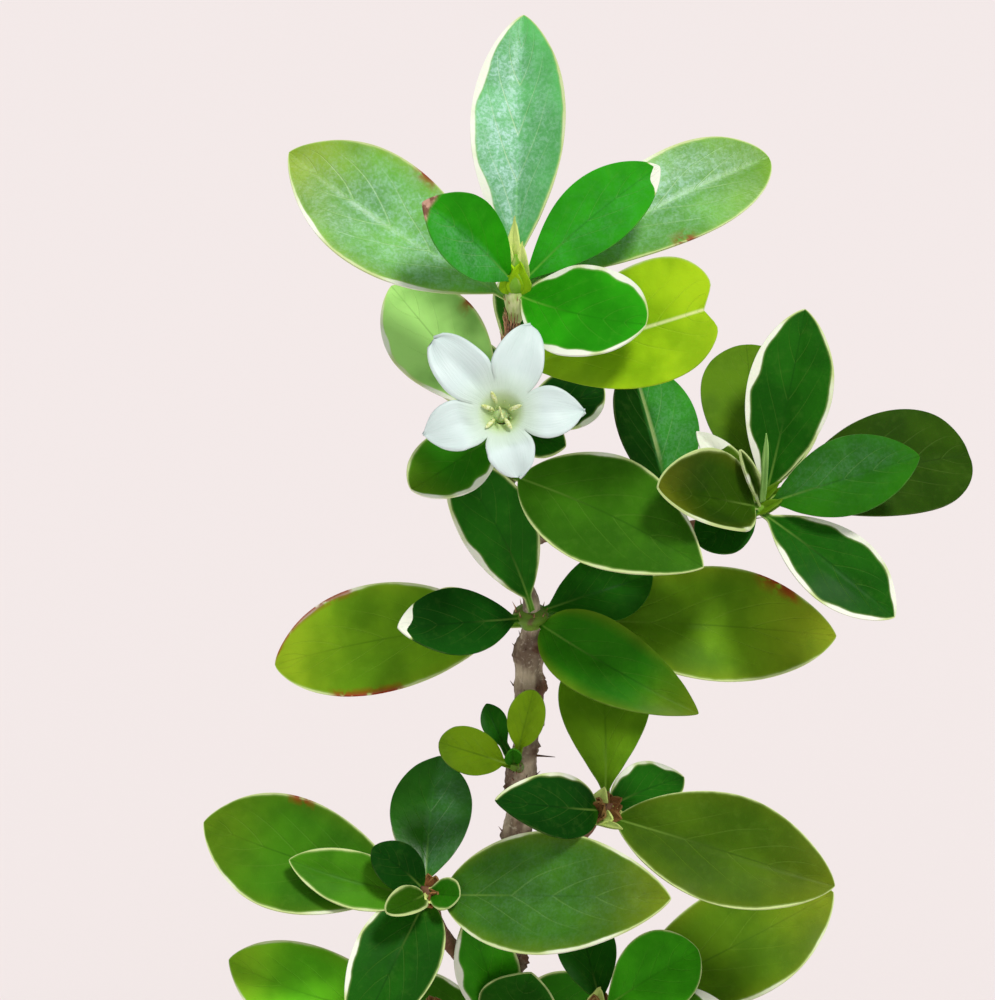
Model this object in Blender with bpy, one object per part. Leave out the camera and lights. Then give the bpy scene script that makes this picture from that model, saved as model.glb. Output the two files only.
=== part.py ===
"""A small variegated serissa grown as a bonsai in a plain clay tray.

Lengths below are in millimetres and become metres where a mesh is made. The origin is the
middle of the tray's footprint, on the surface it stands on, with +Z up and the front at -Y.
"""

import math
import random
from collections import namedtuple

import bmesh
import bpy
from mathutils import Matrix, Vector

MM = 0.001
GAP = 0.3
SEED = 5

# The tray
POT_WIDTH, POT_DEPTH, POT_HEIGHT = 88.0, 62.0, 26.0
POT_TAPER = 4.6
POT_WALL, POT_FLOOR = 3.2, 3.6
POT_CORNER = 12.0
LIP_HEIGHT, LIP_OUT = 4.0, 1.3
FOOT_HEIGHT, FOOT_WIDTH, FOOT_DEPTH = 3.2, 14.0, 9.0
FOOT_CORNER, FOOT_INSET = 3.0, (4.0, 1.2)
DRAIN_RADIUS, DRAIN_SPREAD = 4.0, 20.0
CORNER_STEPS = 4
EDGE = 0.7

# The soil
SOIL_BELOW_RIM = 4.6
SOIL_MOUND = 2.6
SOIL_CLEAR = 0.5
MOUND_RINGS = (0.85, 0.68, 0.5, 0.34, 0.22)
HOLE_RADIUS, HOLE_DEPTH = 4.4, 8.0

# Leaves and the sheaths that they grow from. A leaf's shape is its width at shares of its
# length, and a bud's profile its radius at shares of its length from the node.
BLADE = 0.6
PETIOLE = 0.36
LEAF_SHAPE = (
    (0.0, 0.0),
    (0.09, 0.16),
    (0.27, 0.64),
    (0.47, 0.97),
    (0.67, 0.93),
    (0.86, 0.52),
    (1.0, 0.07),
)
FOLD, ARCH = 0.20, 0.05
SHEATH_HEIGHT, SHEATH_WALL = 1.8, 0.85
BUD_PROFILE = ((-0.35, 0.72), (0.0, 1.0), (0.35, 0.82), (0.65, 0.3))

# The flower
LOBE_SHAPE = ((0.0, 0.55), (0.28, 0.9), (0.5, 1.0), (0.76, 0.68), (1.0, 0.08))
LOBE_FOLD, LOBE_ARCH = 0.12, 0.06
THROAT_RADIUS, TUBE_RADIUS = 1.55, 0.72
CALYX_LENGTH, CALYX_RADIUS = 1.7, 0.95

# Leaf tips and flower lobes are placed as they look to someone who stands in front at eye
# height over the tray: right of the stem's foot, up from the eye's level, and nearer.
EYE_DISTANCE = 350.0
EYE_TILT = math.radians(30.0)
EYE_LEVEL = Vector((-1.1, 0.0, 109.0))
RIGHT = Vector((1.0, 0.0, 0.0))
TOWARD = Vector((0.0, -math.cos(EYE_TILT), math.sin(EYE_TILT)))
ABOVE = Vector((0.0, math.sin(EYE_TILT), math.cos(EYE_TILT)))
LEAF_FACE = (TOWARD + Vector((0.0, 0.0, 0.4))).normalized()

# The wood: x, y, z and radius along each limb
STEM = (
    (0.0, 0.0, 14.2, 2.7),
    (0.0, 0.0, 20.0, 3.2),
    (0.0, 0.1, 24.5, 3.0),
    (-0.4, 0.2, 29.0, 2.25),
    (-1.1, 0.5, 36.0, 1.85),
    (-0.4, 0.8, 44.0, 1.6),
    (0.5, 0.5, 52.0, 1.45),
    (0.0, 0.0, 59.5, 1.3),
    (-0.2, 0.0, 66.0, 1.2),
    (0.1, 0.0, 72.5, 1.2),
    (0.7, 0.0, 80.5, 1.2),
    (1.3, 0.0, 88.0, 1.2),
    (1.4, 0.0, 94.5, 1.2),
    (1.6, -0.1, 97.2, 0.8),
    (1.6, -0.1, 99.8, 0.7),
    (0.7, 0.0, 102.2, 0.58),
    (-0.2, 0.1, 108.5, 0.56),
    (-0.5, 0.0, 116.0, 0.55),
    (-0.3, 0.0, 121.0, 0.55),
    (0.1, 0.0, 125.2, 0.5),
)
SCARS = (33.0, 40.0, 47.0, 53.5, 64.5, 70.5, 77.0, 83.0, 87.5, 91.5, 95.3)
SCAR_SWELL, SCAR_LENGTH = 0.22, 0.9

# Surface roots: the radius at shares of their reach from the trunk
ROOT_COUNT = 6
ROOT_START, ROOT_REACH = 1.2, (9.5, 13.0)
ROOT_RISE = 3.6
ROOT_PROFILE = ((0.0, 1.5), (0.35, 1.25), (0.62, 0.95), (0.85, 0.7), (1.0, 0.45))

Leaf = namedtuple("Leaf", "right up toward width lift swing", defaults=(0.0, 0.0))
Shoot = namedtuple("Shoot", "node axis sheath leaves")

# Whorls on the stem grow from a ring round it, given with the stem's radius there, and shoots
# from a bud at their twig's end, given with its length and radius. A leaf's toward is counted
# from its node, its lift moves its root along the shoot, and its swing turns its root round a
# ring, in degrees.
SHOOTS = {
    "tip_shoot": Shoot(
        (0.3, 0.0, 128.0),
        (0.0, 0.0, 1.0),
        ("bud", 5.0, 1.25),
        (
            Leaf(1.0, 38.8, -2.0, 7.4, 2.0),
            Leaf(-17.8, 27.8, 0.0, 9.4, -1.2),
            Leaf(-7.1, 23.8, 9.0, 6.1, 0.2),
            Leaf(11.9, 26.7, 3.0, 6.4, -0.2),
            Leaf(20.6, 27.6, -5.0, 8.2, -0.3),
            Leaf(10.8, 14.0, 7.0, 7.8, -0.5),
        ),
    ),
    "whorl_above_flower": Shoot(
        (-0.3, 0.0, 120.8),
        (0.0, 0.0, 1.0),
        ("ring", 0.56),
        (Leaf(16.7, 15.6, 9.0, 10.0, 0.2, -30.0), Leaf(3.0, 17.5, -14.0, 6.8)),
    ),
    "whorl_behind_flower": Shoot(
        (-0.45, 0.0, 115.6),
        (0.0, 0.0, 1.0),
        ("ring", 0.57),
        (
            Leaf(-9.0, 16.6, -5.0, 8.8, 0.3),
            Leaf(-5.0, 12.2, -13.0, 6.4),
            Leaf(7.4, 9.0, -4.0, 4.8),
            Leaf(4.4, 4.3, 2.0, 3.4, -0.4),
            Leaf(-8.0, 0.8, 6.0, 5.6),
        ),
    ),
    "whorl_below_flower": Shoot(
        (-0.35, 0.0, 111.5),
        (0.0, 0.0, 1.0),
        ("ring", 0.58),
        (Leaf(15.4, -5.4, 7.0, 9.8, 0.2, -75.0), Leaf(-3.2, -1.5, -12.0, 5.6)),
    ),
    "whorl_middle": Shoot(
        (1.6, -0.1, 98.2),
        (0.0, 0.0, 1.0),
        ("ring", 0.76),
        (
            Leaf(-5.1, 3.7, 9.6, 5.8, 0.9, 80.0),
            Leaf(11.3, -6.0, -8.0, 5.8, 0.2),
            Leaf(26.0, -10.9, -1.0, 9.6, -0.6),
            Leaf(15.0, -17.1, 4.0, 6.2, -0.5),
            Leaf(-9.1, -10.2, 7.5, 5.8, 0.0),
            Leaf(-18.9, -13.2, -3.0, 9.2, -0.8),
            Leaf(-8.0, -10.2, -15.0, 5.6, -0.5),
            Leaf(10.5, -8.3, -15.5, 5.8, -0.5),
        ),
    ),
    "young_shoot": Shoot(
        (0.3, -3.0, 85.5),
        (-0.25, -0.8, 0.6),
        ("bud", 1.6, 0.6),
        (
            Leaf(-5.8, -19.4, 3.0, 3.9),
            Leaf(1.8, -15.2, 4.5, 3.0),
            Leaf(-2.0, -16.3, -1.0, 1.9),
            Leaf(-0.1, -21.8, 1.5, 1.4),
        ),
    ),
    "right_shoot": Shoot(
        (19.7, -0.3, 108.4),
        (0.8, 0.0, 0.6),
        ("bud", 3.0, 1.2),
        (
            Leaf(23.5, 15.3, 2.0, 7.0, 0.6),
            Leaf(18.4, 12.3, -7.0, 6.4, 0.3),
            Leaf(11.7, 1.0, 10.0, 6.6, 0.2),
            Leaf(15.1, 5.8, 3.0, 3.0, 0.4),
            Leaf(18.4, 4.0, 5.0, 1.7, 0.5),
            Leaf(32.7, 3.5, 4.0, 6.2, 0.4),
            Leaf(36.6, 3.6, -6.0, 9.0, 0.1),
            Leaf(30.7, -9.4, 3.0, 6.2, -0.1),
            Leaf(15.0, -3.6, 3.5, 4.4, 0.3),
            Leaf(22.4, 8.6, -12.0, 6.2, 0.8),
        ),
    ),
    "right_twig_whorl": Shoot(
        (13.2, 0.2, 106.2),
        (0.97, -0.1, 0.22),
        ("ring", 0.55),
        (
            Leaf(9.7, 10.8, -4.0, 6.8),
            Leaf(9.4, 2.0, -7.0, 4.0),
        ),
    ),
    "lower_right_shoot": Shoot(
        (7.5, -3.0, 81.0),
        (0.6, -0.3, 0.75),
        ("bud", 2.8, 1.15),
        (
            Leaf(7.0, -12.0, -6.0, 7.6, 0.4),
            Leaf(-1.3, -24.0, 7.0, 5.4, 0.2),
            Leaf(13.8, -22.4, -5.0, 4.4, 0.3),
            Leaf(25.9, -30.9, 2.0, 9.2, -0.4),
            Leaf(7.0, -17.5, -15.0, 5.8, 0.6),
        ),
    ),
    "lower_left_shoot": Shoot(
        (-6.9, -4.0, 73.3),
        (-0.35, -0.35, 0.86),
        ("bud", 2.8, 1.2),
        (
            Leaf(-5.7, -20.5, -7.0, 7.0, 0.6),
            Leaf(-24.6, -25.8, -4.0, 9.8, 0.2),
            Leaf(-17.8, -28.8, 4.0, 5.0, -0.6),
            Leaf(-11.1, -27.8, -1.0, 3.6, 0.6),
            Leaf(-10.0, -32.4, 6.0, 2.4, 0.3),
            Leaf(-12.5, -43.6, 4.0, 7.2, 0.0),
            Leaf(-4.1, -31.7, 3.0, 2.8, 0.5),
            Leaf(12.8, -31.9, 9.0, 10.2, 0.0),
            Leaf(-6.2, -24.0, -15.0, 6.0, 0.8),
        ),
    ),
    "foot_left_shoot": Shoot(
        (-6.4, -3.0, 60.0),
        (-0.6, -0.2, 0.75),
        ("bud", 2.6, 1.1),
        (
            Leaf(-22.6, -36.6, -2.0, 9.2, 0.3),
            Leaf(-16.0, -48.5, 3.0, 6.0),
            Leaf(-12.0, -46.0, -9.0, 5.0, 0.3),
            Leaf(-3.5, -50.5, 8.0, 5.4, 0.2),
        ),
    ),
    "foot_whorl": Shoot(
        (0.1, 0.1, 56.8),
        (0.0, 0.0, 1.0),
        ("ring", 1.38),
        (
            Leaf(-3.4, -33.2, 10.0, 5.4, 0.0, 20.0),
            Leaf(1.6, -37.8, 9.0, 7.0),
            Leaf(6.0, -49.0, 9.0, 5.0),
        ),
    ),
    "foot_right_shoot": Shoot(
        (7.6, -1.0, 59.0),
        (0.6, -0.1, 0.75),
        ("bud", 2.8, 1.15),
        (
            Leaf(5.0, -35.8, -3.0, 4.6, 0.4),
            Leaf(25.8, -31.4, -1.0, 9.8, 0.1),
            Leaf(15.0, -36.0, 4.0, 7.0, 0.3),
            Leaf(18.3, -42.0, 6.0, 5.0),
            Leaf(13.0, -49.0, 4.0, 5.6, 0.2),
        ),
    ),
    "back_shoot": Shoot(
        (-1.6, 9.0, 52.0),
        (-0.1, 0.75, 0.65),
        ("bud", 2.6, 1.1),
        (
            Leaf(-11.0, -40.6, -4.0, 6.2),
            Leaf(8.0, -40.2, -4.5, 6.2),
            Leaf(-1.9, -35.5, -12.0, 6.4, 0.4),
            Leaf(-6.5, -44.5, -9.0, 5.0, 0.2),
        ),
    ),
}

# Where each twig leaves the stem and bends, with its radius; it ends at its shoot's bud
TWIGS = {
    "young_shoot": ((1.2, 0.0, 83.2, 0.6), (0.8, -1.6, 84.2, 0.45)),
    "right_shoot": (
        (0.1, 0.0, 104.6, 0.62),
        (3.6, 0.9, 105.5, 0.6),
        (8.5, 0.8, 105.8, 0.57),
        (13.2, 0.2, 106.2, 0.55),
    ),
    "lower_right_shoot": ((0.4, 0.0, 74.8, 0.9), (3.6, -1.4, 76.6, 0.8), (6.0, -2.4, 78.6, 0.7)),
    "lower_left_shoot": (
        (-0.2, 0.2, 60.5, 0.95),
        (-3.2, -0.6, 63.6, 0.8),
        (-5.2, -2.3, 67.2, 0.68),
        (-6.3, -3.6, 70.6, 0.62),
    ),
    "foot_left_shoot": ((-0.4, 0.3, 49.5, 0.95), (-2.8, -1.2, 53.0, 0.75), (-4.8, -2.4, 56.6, 0.62)),
    "foot_right_shoot": ((0.4, 0.6, 49.0, 0.95), (3.2, -0.2, 52.6, 0.75), (5.6, -0.8, 55.8, 0.62)),
    "back_shoot": ((-0.6, 0.8, 41.0, 1.0), (-1.0, 4.2, 44.6, 0.75), (-1.4, 7.4, 48.8, 0.62)),
}

FLOWER_CENTRE = (-0.8, 7.0, 15.0)
FLOWER_FOOT = Vector((-0.5, -2.2, 116.0))
LOBES = ((-5.4, 5.9, 3.9), (2.4, 7.0, 3.7), (6.7, 0.1, 3.9), (1.4, -5.2, 3.4), (-6.2, -1.8, 3.7))
LOBE_BACK = 0.5


def clear_scene():
    for thing in list(bpy.data.objects):
        bpy.data.objects.remove(thing, do_unlink=True)


def material(name, colour, roughness):
    made = bpy.data.materials.new(name)
    made.use_nodes = True
    shader = made.node_tree.nodes["Principled BSDF"]
    shader.inputs["Base Color"].default_value = (*colour, 1.0)
    shader.inputs["Roughness"].default_value = roughness
    made.diffuse_color = (*colour, 1.0)
    return made


def new_object(name, mesh_builder):
    """A linked object from a bmesh in millimetres."""
    bmesh.ops.recalc_face_normals(mesh_builder, faces=mesh_builder.faces)
    mesh_builder.transform(Matrix.Scale(MM, 4))
    mesh = bpy.data.meshes.new(name)
    mesh_builder.to_mesh(mesh)
    mesh_builder.free()
    made = bpy.data.objects.new(name, mesh)
    bpy.context.scene.collection.objects.link(made)
    return made


def joined(name, pieces, operation="UNION"):
    """The first piece with the others added to it or cut from it, as one closed mesh."""
    body, others = pieces[0], pieces[1:]
    tools = bpy.data.collections.new(name + "_pieces")
    bpy.context.scene.collection.children.link(tools)
    for piece in others:
        bpy.context.scene.collection.objects.unlink(piece)
        tools.objects.link(piece)
    join = body.modifiers.new("join", "BOOLEAN")
    join.operation = operation
    join.operand_type = "COLLECTION"
    join.collection = tools
    join.solver = "EXACT"
    depsgraph = bpy.context.evaluated_depsgraph_get()
    mesh = bpy.data.meshes.new_from_object(body.evaluated_get(depsgraph))
    mesh.name = name
    made = bpy.data.objects.new(name, mesh)
    bpy.context.scene.collection.objects.link(made)
    for piece in pieces:
        bpy.data.objects.remove(piece, do_unlink=True)
    bpy.data.collections.remove(tools)
    return made


def finished(thing, finish, smooth_angle):
    """The object with one material, and smooth where its faces meet at less than the angle."""
    thing.data.materials.clear()
    thing.data.materials.append(finish)
    thing.data.shade_smooth()
    thing.data.set_sharp_from_angle(angle=math.radians(smooth_angle))


def seen(right, up, toward):
    """The place that looks to be there, with its distance from the eye allowed for."""
    spread = 1.0 - toward / EYE_DISTANCE
    across = RIGHT * (right - EYE_LEVEL.x) + ABOVE * up
    return EYE_LEVEL + across * spread + TOWARD * toward


def nearness(place):
    return (place - EYE_LEVEL).dot(TOWARD)


def bridge(builder, first, second):
    """Quads between two rings with the same number of corners."""
    count = len(first)
    for i in range(count):
        j = (i + 1) % count
        builder.faces.new((first[i], first[j], second[j], second[i]))


def rounded_rectangle(width, depth, corner, z):
    """Corners of a level rectangle with round corners, anticlockwise."""
    places = []
    for turn in range(4):
        across = 1 if turn in (0, 3) else -1
        along = 1 if turn in (0, 1) else -1
        middle = Vector((across * (width / 2 - corner), along * (depth / 2 - corner), z))
        for step in range(CORNER_STEPS + 1):
            angle = math.pi / 2 * (turn + step / CORNER_STEPS)
            places.append(middle + corner * Vector((math.cos(angle), math.sin(angle), 0.0)))
    return places


def stacked(sections):
    """A closed body through rings of places, from its first flat end to its last."""
    builder = bmesh.new()
    rings = [[builder.verts.new(place) for place in section] for section in sections]
    for lower, upper in zip(rings, rings[1:]):
        bridge(builder, lower, upper)
    builder.faces.new(reversed(rings[0]))
    builder.faces.new(rings[-1])
    return builder


def tray_outline(less, z):
    """The tray's outline at a height, that much smaller on every side."""
    corner = max(POT_CORNER - less, 3.0)
    return rounded_rectangle(POT_WIDTH - 2 * less, POT_DEPTH - 2 * less, corner, z)


def ring_round(centre, axis, radius, sides):
    """Places on a circle square to the axis."""
    turn = Vector((0.0, 0.0, 1.0)).rotation_difference(axis)
    places = []
    for i in range(sides):
        angle = 2 * math.pi * i / sides
        spoke = Vector((math.cos(angle), math.sin(angle), 0.0)) * radius
        places.append(centre + turn @ spoke)
    return places


def upright(name, x, radius, heights):
    """An upright round bar to cut a hole with."""
    sections = [ring_round(Vector((x, 0.0, z)), Vector((0.0, 0.0, 1.0)), radius, 20) for z in heights]
    return new_object(name, stacked(sections))


def smooth_path(points, steps):
    """Points with their radius along a smooth curve through the given ones."""
    rows = [Vector(p) for p in points]
    rows = [2 * rows[0] - rows[1], *rows, 2 * rows[-1] - rows[-2]]
    path = []
    for a, b, c, d in zip(rows, rows[1:], rows[2:], rows[3:]):
        for step in range(steps):
            t = step / steps
            bend = 2 * b + (c - a) * t + (2 * a - 5 * b + 4 * c - d) * t * t
            path.append((bend + (3 * b - a - 3 * c + d) * t**3) / 2)
    path.append(rows[-2])
    return path


def limb(name, points, sides, steps=2, scars=()):
    """A round limb of changing thickness, swollen at its old leaf scars."""
    path = smooth_path(points, steps)
    sections = []
    for i, row in enumerate(path):
        before, after = path[max(i - 1, 0)], path[min(i + 1, len(path) - 1)]
        swell = sum(math.exp(-(((row.z - z) / SCAR_LENGTH) ** 2)) for z in scars)
        radius = row.w * (1 + SCAR_SWELL * swell)
        sections.append(ring_round(row.xyz, (after - before).xyz.normalized(), radius, sides))
    return new_object(name, stacked(sections))


def soil_height(x, y):
    """The top of the soil, a low mound that falls to the tray's wall."""
    edge = POT_HEIGHT - SOIL_BELOW_RIM
    far = math.hypot(x / (POT_WIDTH / 2 - POT_WALL), y / (POT_DEPTH / 2 - POT_WALL))
    return edge + SOIL_MOUND * (1 - min(far, 1.0) ** 2)


def root(number):
    """A surface root that leaves the trunk's flare and lies along the soil."""
    draw = random.Random(SEED + number)
    angle = 2 * math.pi * (number + draw.uniform(-0.25, 0.25)) / ROOT_COUNT
    reach = draw.uniform(*ROOT_REACH) - ROOT_START
    bow = draw.uniform(-0.35, 0.35)
    points = []
    for share, radius in ROOT_PROFILE:
        far = ROOT_START + reach * share
        turned = angle + bow * share
        x, y = far * math.cos(turned), far * math.sin(turned)
        z = soil_height(x, y) + radius + GAP + 0.1
        z += ROOT_RISE * max(0.0, 1.0 - share / 0.4) ** 1.5
        points.append((x, y, z, radius))
    return limb(f"root_{number}", points, sides=6, steps=1)


def twig(name):
    """A side twig from inside the stem to just below its shoot's bud."""
    shoot = SHOOTS[name]
    axis = Vector(shoot.axis).normalized()
    _, length, _ = shoot.sheath
    end = Vector(shoot.node) + axis * (length * BUD_PROFILE[0][0] - GAP - 0.1)
    last = TWIGS[name][-1][3] * 0.95
    return limb(name + "_twig", (*TWIGS[name], (*end, last)), sides=7)


def make_trunk(finish):
    pieces = [limb("stem", STEM, sides=10, steps=3, scars=SCARS)]
    pieces += [root(number) for number in range(ROOT_COUNT)]
    pieces += [twig(name) for name in TWIGS]
    finished(joined("trunk", pieces), finish, smooth_angle=50.0)


def leaf_normal(along):
    """The leaf's upper side, square to its length, facing up and to the front."""
    return (LEAF_FACE - along * LEAF_FACE.dot(along)).normalized()


def blade(name, start, tip, width, normal, shape, fold, arch):
    """A thin plate with a folded midrib, split alike above and below."""
    along = tip - start
    side = along.cross(normal).normalized()
    builder = bmesh.new()
    rows = []
    for share, part in shape:
        half = max(width / 2 * part, PETIOLE)
        middle = start + along * share
        middle += normal * (arch * along.length * 4 * share * (1 - share) + BLADE / 2)
        edge = normal * (fold * half)
        places = (middle - side * half + edge, middle, middle + side * half + edge)
        rows.append([builder.verts.new(place) for place in places])
    for near, far in zip(rows, rows[1:]):
        for k in (0, 1):
            builder.faces.new((near[k], near[k + 1], far[k + 1]))
            builder.faces.new((near[k], far[k + 1], far[k]))
    top = builder.faces[:]
    swept = bmesh.ops.extrude_face_region(builder, geom=top, use_keep_orig=True)
    lower = [v for v in swept["geom"] if isinstance(v, bmesh.types.BMVert)]
    bmesh.ops.translate(builder, verts=lower, vec=-normal * BLADE)
    return new_object(name, builder)


def leaf_root(shoot, leaf):
    """Where a leaf starts: in the wall of the ring, or at the middle of the bud."""
    node = Vector(shoot.node)
    axis = Vector(shoot.axis).normalized()
    tip = seen(leaf.right, leaf.up, nearness(node) + leaf.toward)
    start = node + axis * leaf.lift
    if shoot.sheath[0] == "ring":
        outward = tip - node
        outward = (outward - axis * outward.dot(axis)).normalized()
        outward = Matrix.Rotation(math.radians(leaf.swing), 3, axis) @ outward
        start += outward * (shoot.sheath[1] + GAP + SHEATH_WALL * 0.55)
    return start, tip


def leaf(name, shoot, spec, draw):
    start, tip = leaf_root(shoot, spec)
    normal = leaf_normal((tip - start).normalized())
    fold = FOLD * draw.uniform(0.7, 1.3)
    arch = ARCH * draw.uniform(0.6, 1.4)
    return blade(name, start, tip, spec.width, normal, LEAF_SHAPE, fold, arch)


def sheath(name, shoot):
    """The ring round the stem, or the bud on the twig's end, that the leaves grow from."""
    node, axis = Vector(shoot.node), Vector(shoot.axis).normalized()
    if shoot.sheath[0] == "bud":
        _, length, radius = shoot.sheath
        sections = [ring_round(node + axis * length * t, axis, radius * r, 8) for t, r in BUD_PROFILE]
        return new_object(name, stacked(sections))
    inner = shoot.sheath[1] + GAP
    outer = inner + SHEATH_WALL
    half = axis * SHEATH_HEIGHT / 2
    builder = bmesh.new()
    corners = ((inner, -half), (outer, -half), (outer * 0.94, half), (inner, half))
    rings = []
    for radius, rise in corners:
        places = ring_round(node + rise, axis, radius, 10)
        rings.append([builder.verts.new(place) for place in places])
    for first, second in zip(rings, rings[1:] + rings[:1]):
        bridge(builder, first, second)
    return new_object(name, builder)


def make_shoot(name, finish):
    shoot = SHOOTS[name]
    draw = random.Random(name)
    pieces = [sheath(name + "_sheath", shoot)]
    pieces += [leaf(f"{name}_leaf_{i}", shoot, spec, draw) for i, spec in enumerate(shoot.leaves)]
    finished(joined(name, pieces), finish, smooth_angle=50.0)


def make_flower(white, green):
    """The corolla on its tube, facing the front, and the calyx that the tube stands in."""
    centre = seen(*FLOWER_CENTRE)
    axis = (centre - FLOWER_FOOT).normalized()
    cup_end = FLOWER_FOOT + axis * CALYX_LENGTH
    sections = [
        ring_round(FLOWER_FOOT, axis, CALYX_RADIUS * 0.5, 10),
        ring_round(FLOWER_FOOT + axis * CALYX_LENGTH * 0.4, axis, CALYX_RADIUS * 0.9, 10),
        ring_round(cup_end, axis, CALYX_RADIUS, 10),
    ]
    finished(new_object("flower_calyx", stacked(sections)), green, smooth_angle=40.0)

    foot = cup_end + axis * GAP
    sections = [
        ring_round(foot, axis, TUBE_RADIUS, 10),
        ring_round(foot.lerp(centre, 0.6), axis, TUBE_RADIUS, 10),
        ring_round(centre - axis * 1.2, axis, TUBE_RADIUS * 1.4, 10),
        ring_round(centre, TOWARD, THROAT_RADIUS, 10),
        ring_round(centre, TOWARD, THROAT_RADIUS * 0.6, 10),
        ring_round(centre - axis * 1.0, TOWARD, THROAT_RADIUS * 0.25, 10),
    ]
    pieces = [new_object("tube", stacked(sections))]
    right, up, toward = FLOWER_CENTRE
    for i, (across, rise, width) in enumerate(LOBES):
        tip = seen(right + across, up + rise, toward - LOBE_BACK)
        start = centre.lerp(tip, THROAT_RADIUS * 0.75 / (tip - centre).length)
        start -= TOWARD * BLADE * 0.4
        along = (tip - start).normalized()
        normal = (TOWARD - along * TOWARD.dot(along)).normalized()
        pieces.append(blade(f"lobe_{i}", start, tip, width, normal, LOBE_SHAPE, LOBE_FOLD, LOBE_ARCH))
    finished(joined("flower_corolla", pieces), white, smooth_angle=50.0)


def make_pot(finish):
    """The tray on four feet, with a lip round its rim and two drainage holes."""
    top = POT_HEIGHT - LIP_HEIGHT
    base = FOOT_HEIGHT
    outside = (
        (POT_TAPER + 1.2, base),
        (POT_TAPER, base + 1.2),
        (LIP_OUT, top),
        (EDGE / 2, top + EDGE),
        (0.0, top + 2 * EDGE),
        (0.0, POT_HEIGHT - EDGE),
        (EDGE, POT_HEIGHT),
    )
    inside = (
        (POT_WALL - EDGE, POT_HEIGHT),
        (POT_WALL, POT_HEIGHT - EDGE),
        (POT_TAPER + POT_WALL, base + POT_FLOOR),
    )
    sections = [tray_outline(less, z) for less, z in outside + inside]
    pieces = [new_object("tray", stacked(sections))]
    across = POT_WIDTH / 2 - POT_TAPER - FOOT_WIDTH / 2 - FOOT_INSET[0]
    along = POT_DEPTH / 2 - POT_TAPER - FOOT_DEPTH / 2 - FOOT_INSET[1]
    for i, (x, y) in enumerate(((1, 1), (-1, 1), (-1, -1), (1, -1))):
        place = Vector((x * across, y * along, 0.0))
        foot = []
        for less, z in ((EDGE, 0.0), (0.0, EDGE), (0.0, base + 1.0)):
            width, depth = FOOT_WIDTH - 2 * less, FOOT_DEPTH - 2 * less
            outline = rounded_rectangle(width, depth, FOOT_CORNER - less, z)
            foot.append([place + corner for corner in outline])
        pieces.append(new_object(f"foot_{i}", stacked(foot)))
    tray = joined("footed_tray", pieces)
    heights = (base - 2.0, base + POT_FLOOR + 2.0)
    drains = [upright("drain", x, DRAIN_RADIUS, heights) for x in (-DRAIN_SPREAD, DRAIN_SPREAD)]
    finished(joined("pot", [tray, *drains], "DIFFERENCE"), finish, smooth_angle=35.0)


def make_soil(finish):
    """Soil that fills the tray to below its rim, with a plain hole for the trunk."""
    floor = FOOT_HEIGHT + POT_FLOOR
    edge = POT_HEIGHT - SOIL_BELOW_RIM
    sections = []
    for z in (floor + GAP, edge):
        wall_lean = POT_TAPER * (POT_HEIGHT - EDGE - z) / (POT_HEIGHT - EDGE - floor)
        sections.append(tray_outline(POT_WALL + wall_lean + SOIL_CLEAR, z))
    rim = sections[-1]
    for share in MOUND_RINGS:
        places = [place * share for place in rim]
        sections.append([Vector((p.x, p.y, soil_height(p.x, p.y))) for p in places])
    bed = new_object("bed", stacked(sections))
    hole = upright("hole", 0.0, HOLE_RADIUS, (edge - HOLE_DEPTH, POT_HEIGHT + 4.0))
    finished(joined("soil", [bed, hole], "DIFFERENCE"), finish, smooth_angle=35.0)


def main():
    clear_scene()
    make_pot(material("pot_clay", (0.22, 0.16, 0.13), 0.62))
    make_soil(material("soil_brown", (0.10, 0.065, 0.04), 0.95))
    make_trunk(material("bark_grey_brown", (0.20, 0.14, 0.10), 0.85))
    leaf_green = material("leaf_green", (0.10, 0.26, 0.03), 0.35)
    for name in SHOOTS:
        make_shoot(name, leaf_green)
    calyx_green = material("calyx_green", (0.20, 0.36, 0.06), 0.45)
    make_flower(material("petal_white", (0.85, 0.90, 0.90), 0.55), calyx_green)


main()
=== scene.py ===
# %% [markdown]
# # A variegated serissa bonsai
# A serissa is a small shrub with leathery leaves and white star-shaped flowers. This lesson
# gives a plain solid model of one its fine shapes and finishes: veined leaves with cream
# margins, bristly buds, a soft flower, knobbly bark, soil, moss and an unglazed clay tray.
# Every new piece takes the place of a plain solid, so it keeps that solid's size and place.

import math
import random
from collections import namedtuple

import bpy
import numpy as np
from mathutils import Matrix, Vector, noise


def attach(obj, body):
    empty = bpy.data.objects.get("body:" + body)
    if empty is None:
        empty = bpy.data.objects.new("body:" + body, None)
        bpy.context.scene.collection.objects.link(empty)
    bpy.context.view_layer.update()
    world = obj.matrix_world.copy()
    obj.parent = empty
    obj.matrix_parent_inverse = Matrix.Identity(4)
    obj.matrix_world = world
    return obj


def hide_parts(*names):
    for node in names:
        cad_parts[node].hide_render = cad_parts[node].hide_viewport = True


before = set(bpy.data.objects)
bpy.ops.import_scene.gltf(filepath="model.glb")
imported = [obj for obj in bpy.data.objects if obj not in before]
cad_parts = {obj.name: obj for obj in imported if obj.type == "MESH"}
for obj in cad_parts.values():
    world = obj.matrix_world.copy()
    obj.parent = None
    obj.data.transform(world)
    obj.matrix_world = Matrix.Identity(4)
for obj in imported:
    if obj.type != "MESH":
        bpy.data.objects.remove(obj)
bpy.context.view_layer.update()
MM = 0.001
UP = Vector((0.0, 0.0, 1.0))
print("plain nodes:", len(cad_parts))

# %% [markdown]
# ## Making and selecting
# An operator acts on all that is selected, and loading the model leaves its solids selected.
# These small helpers clear the selection first and make one object active. Others add a shape
# under a plain name, apply one modifier, merge points, and move points that code has placed.


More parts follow.
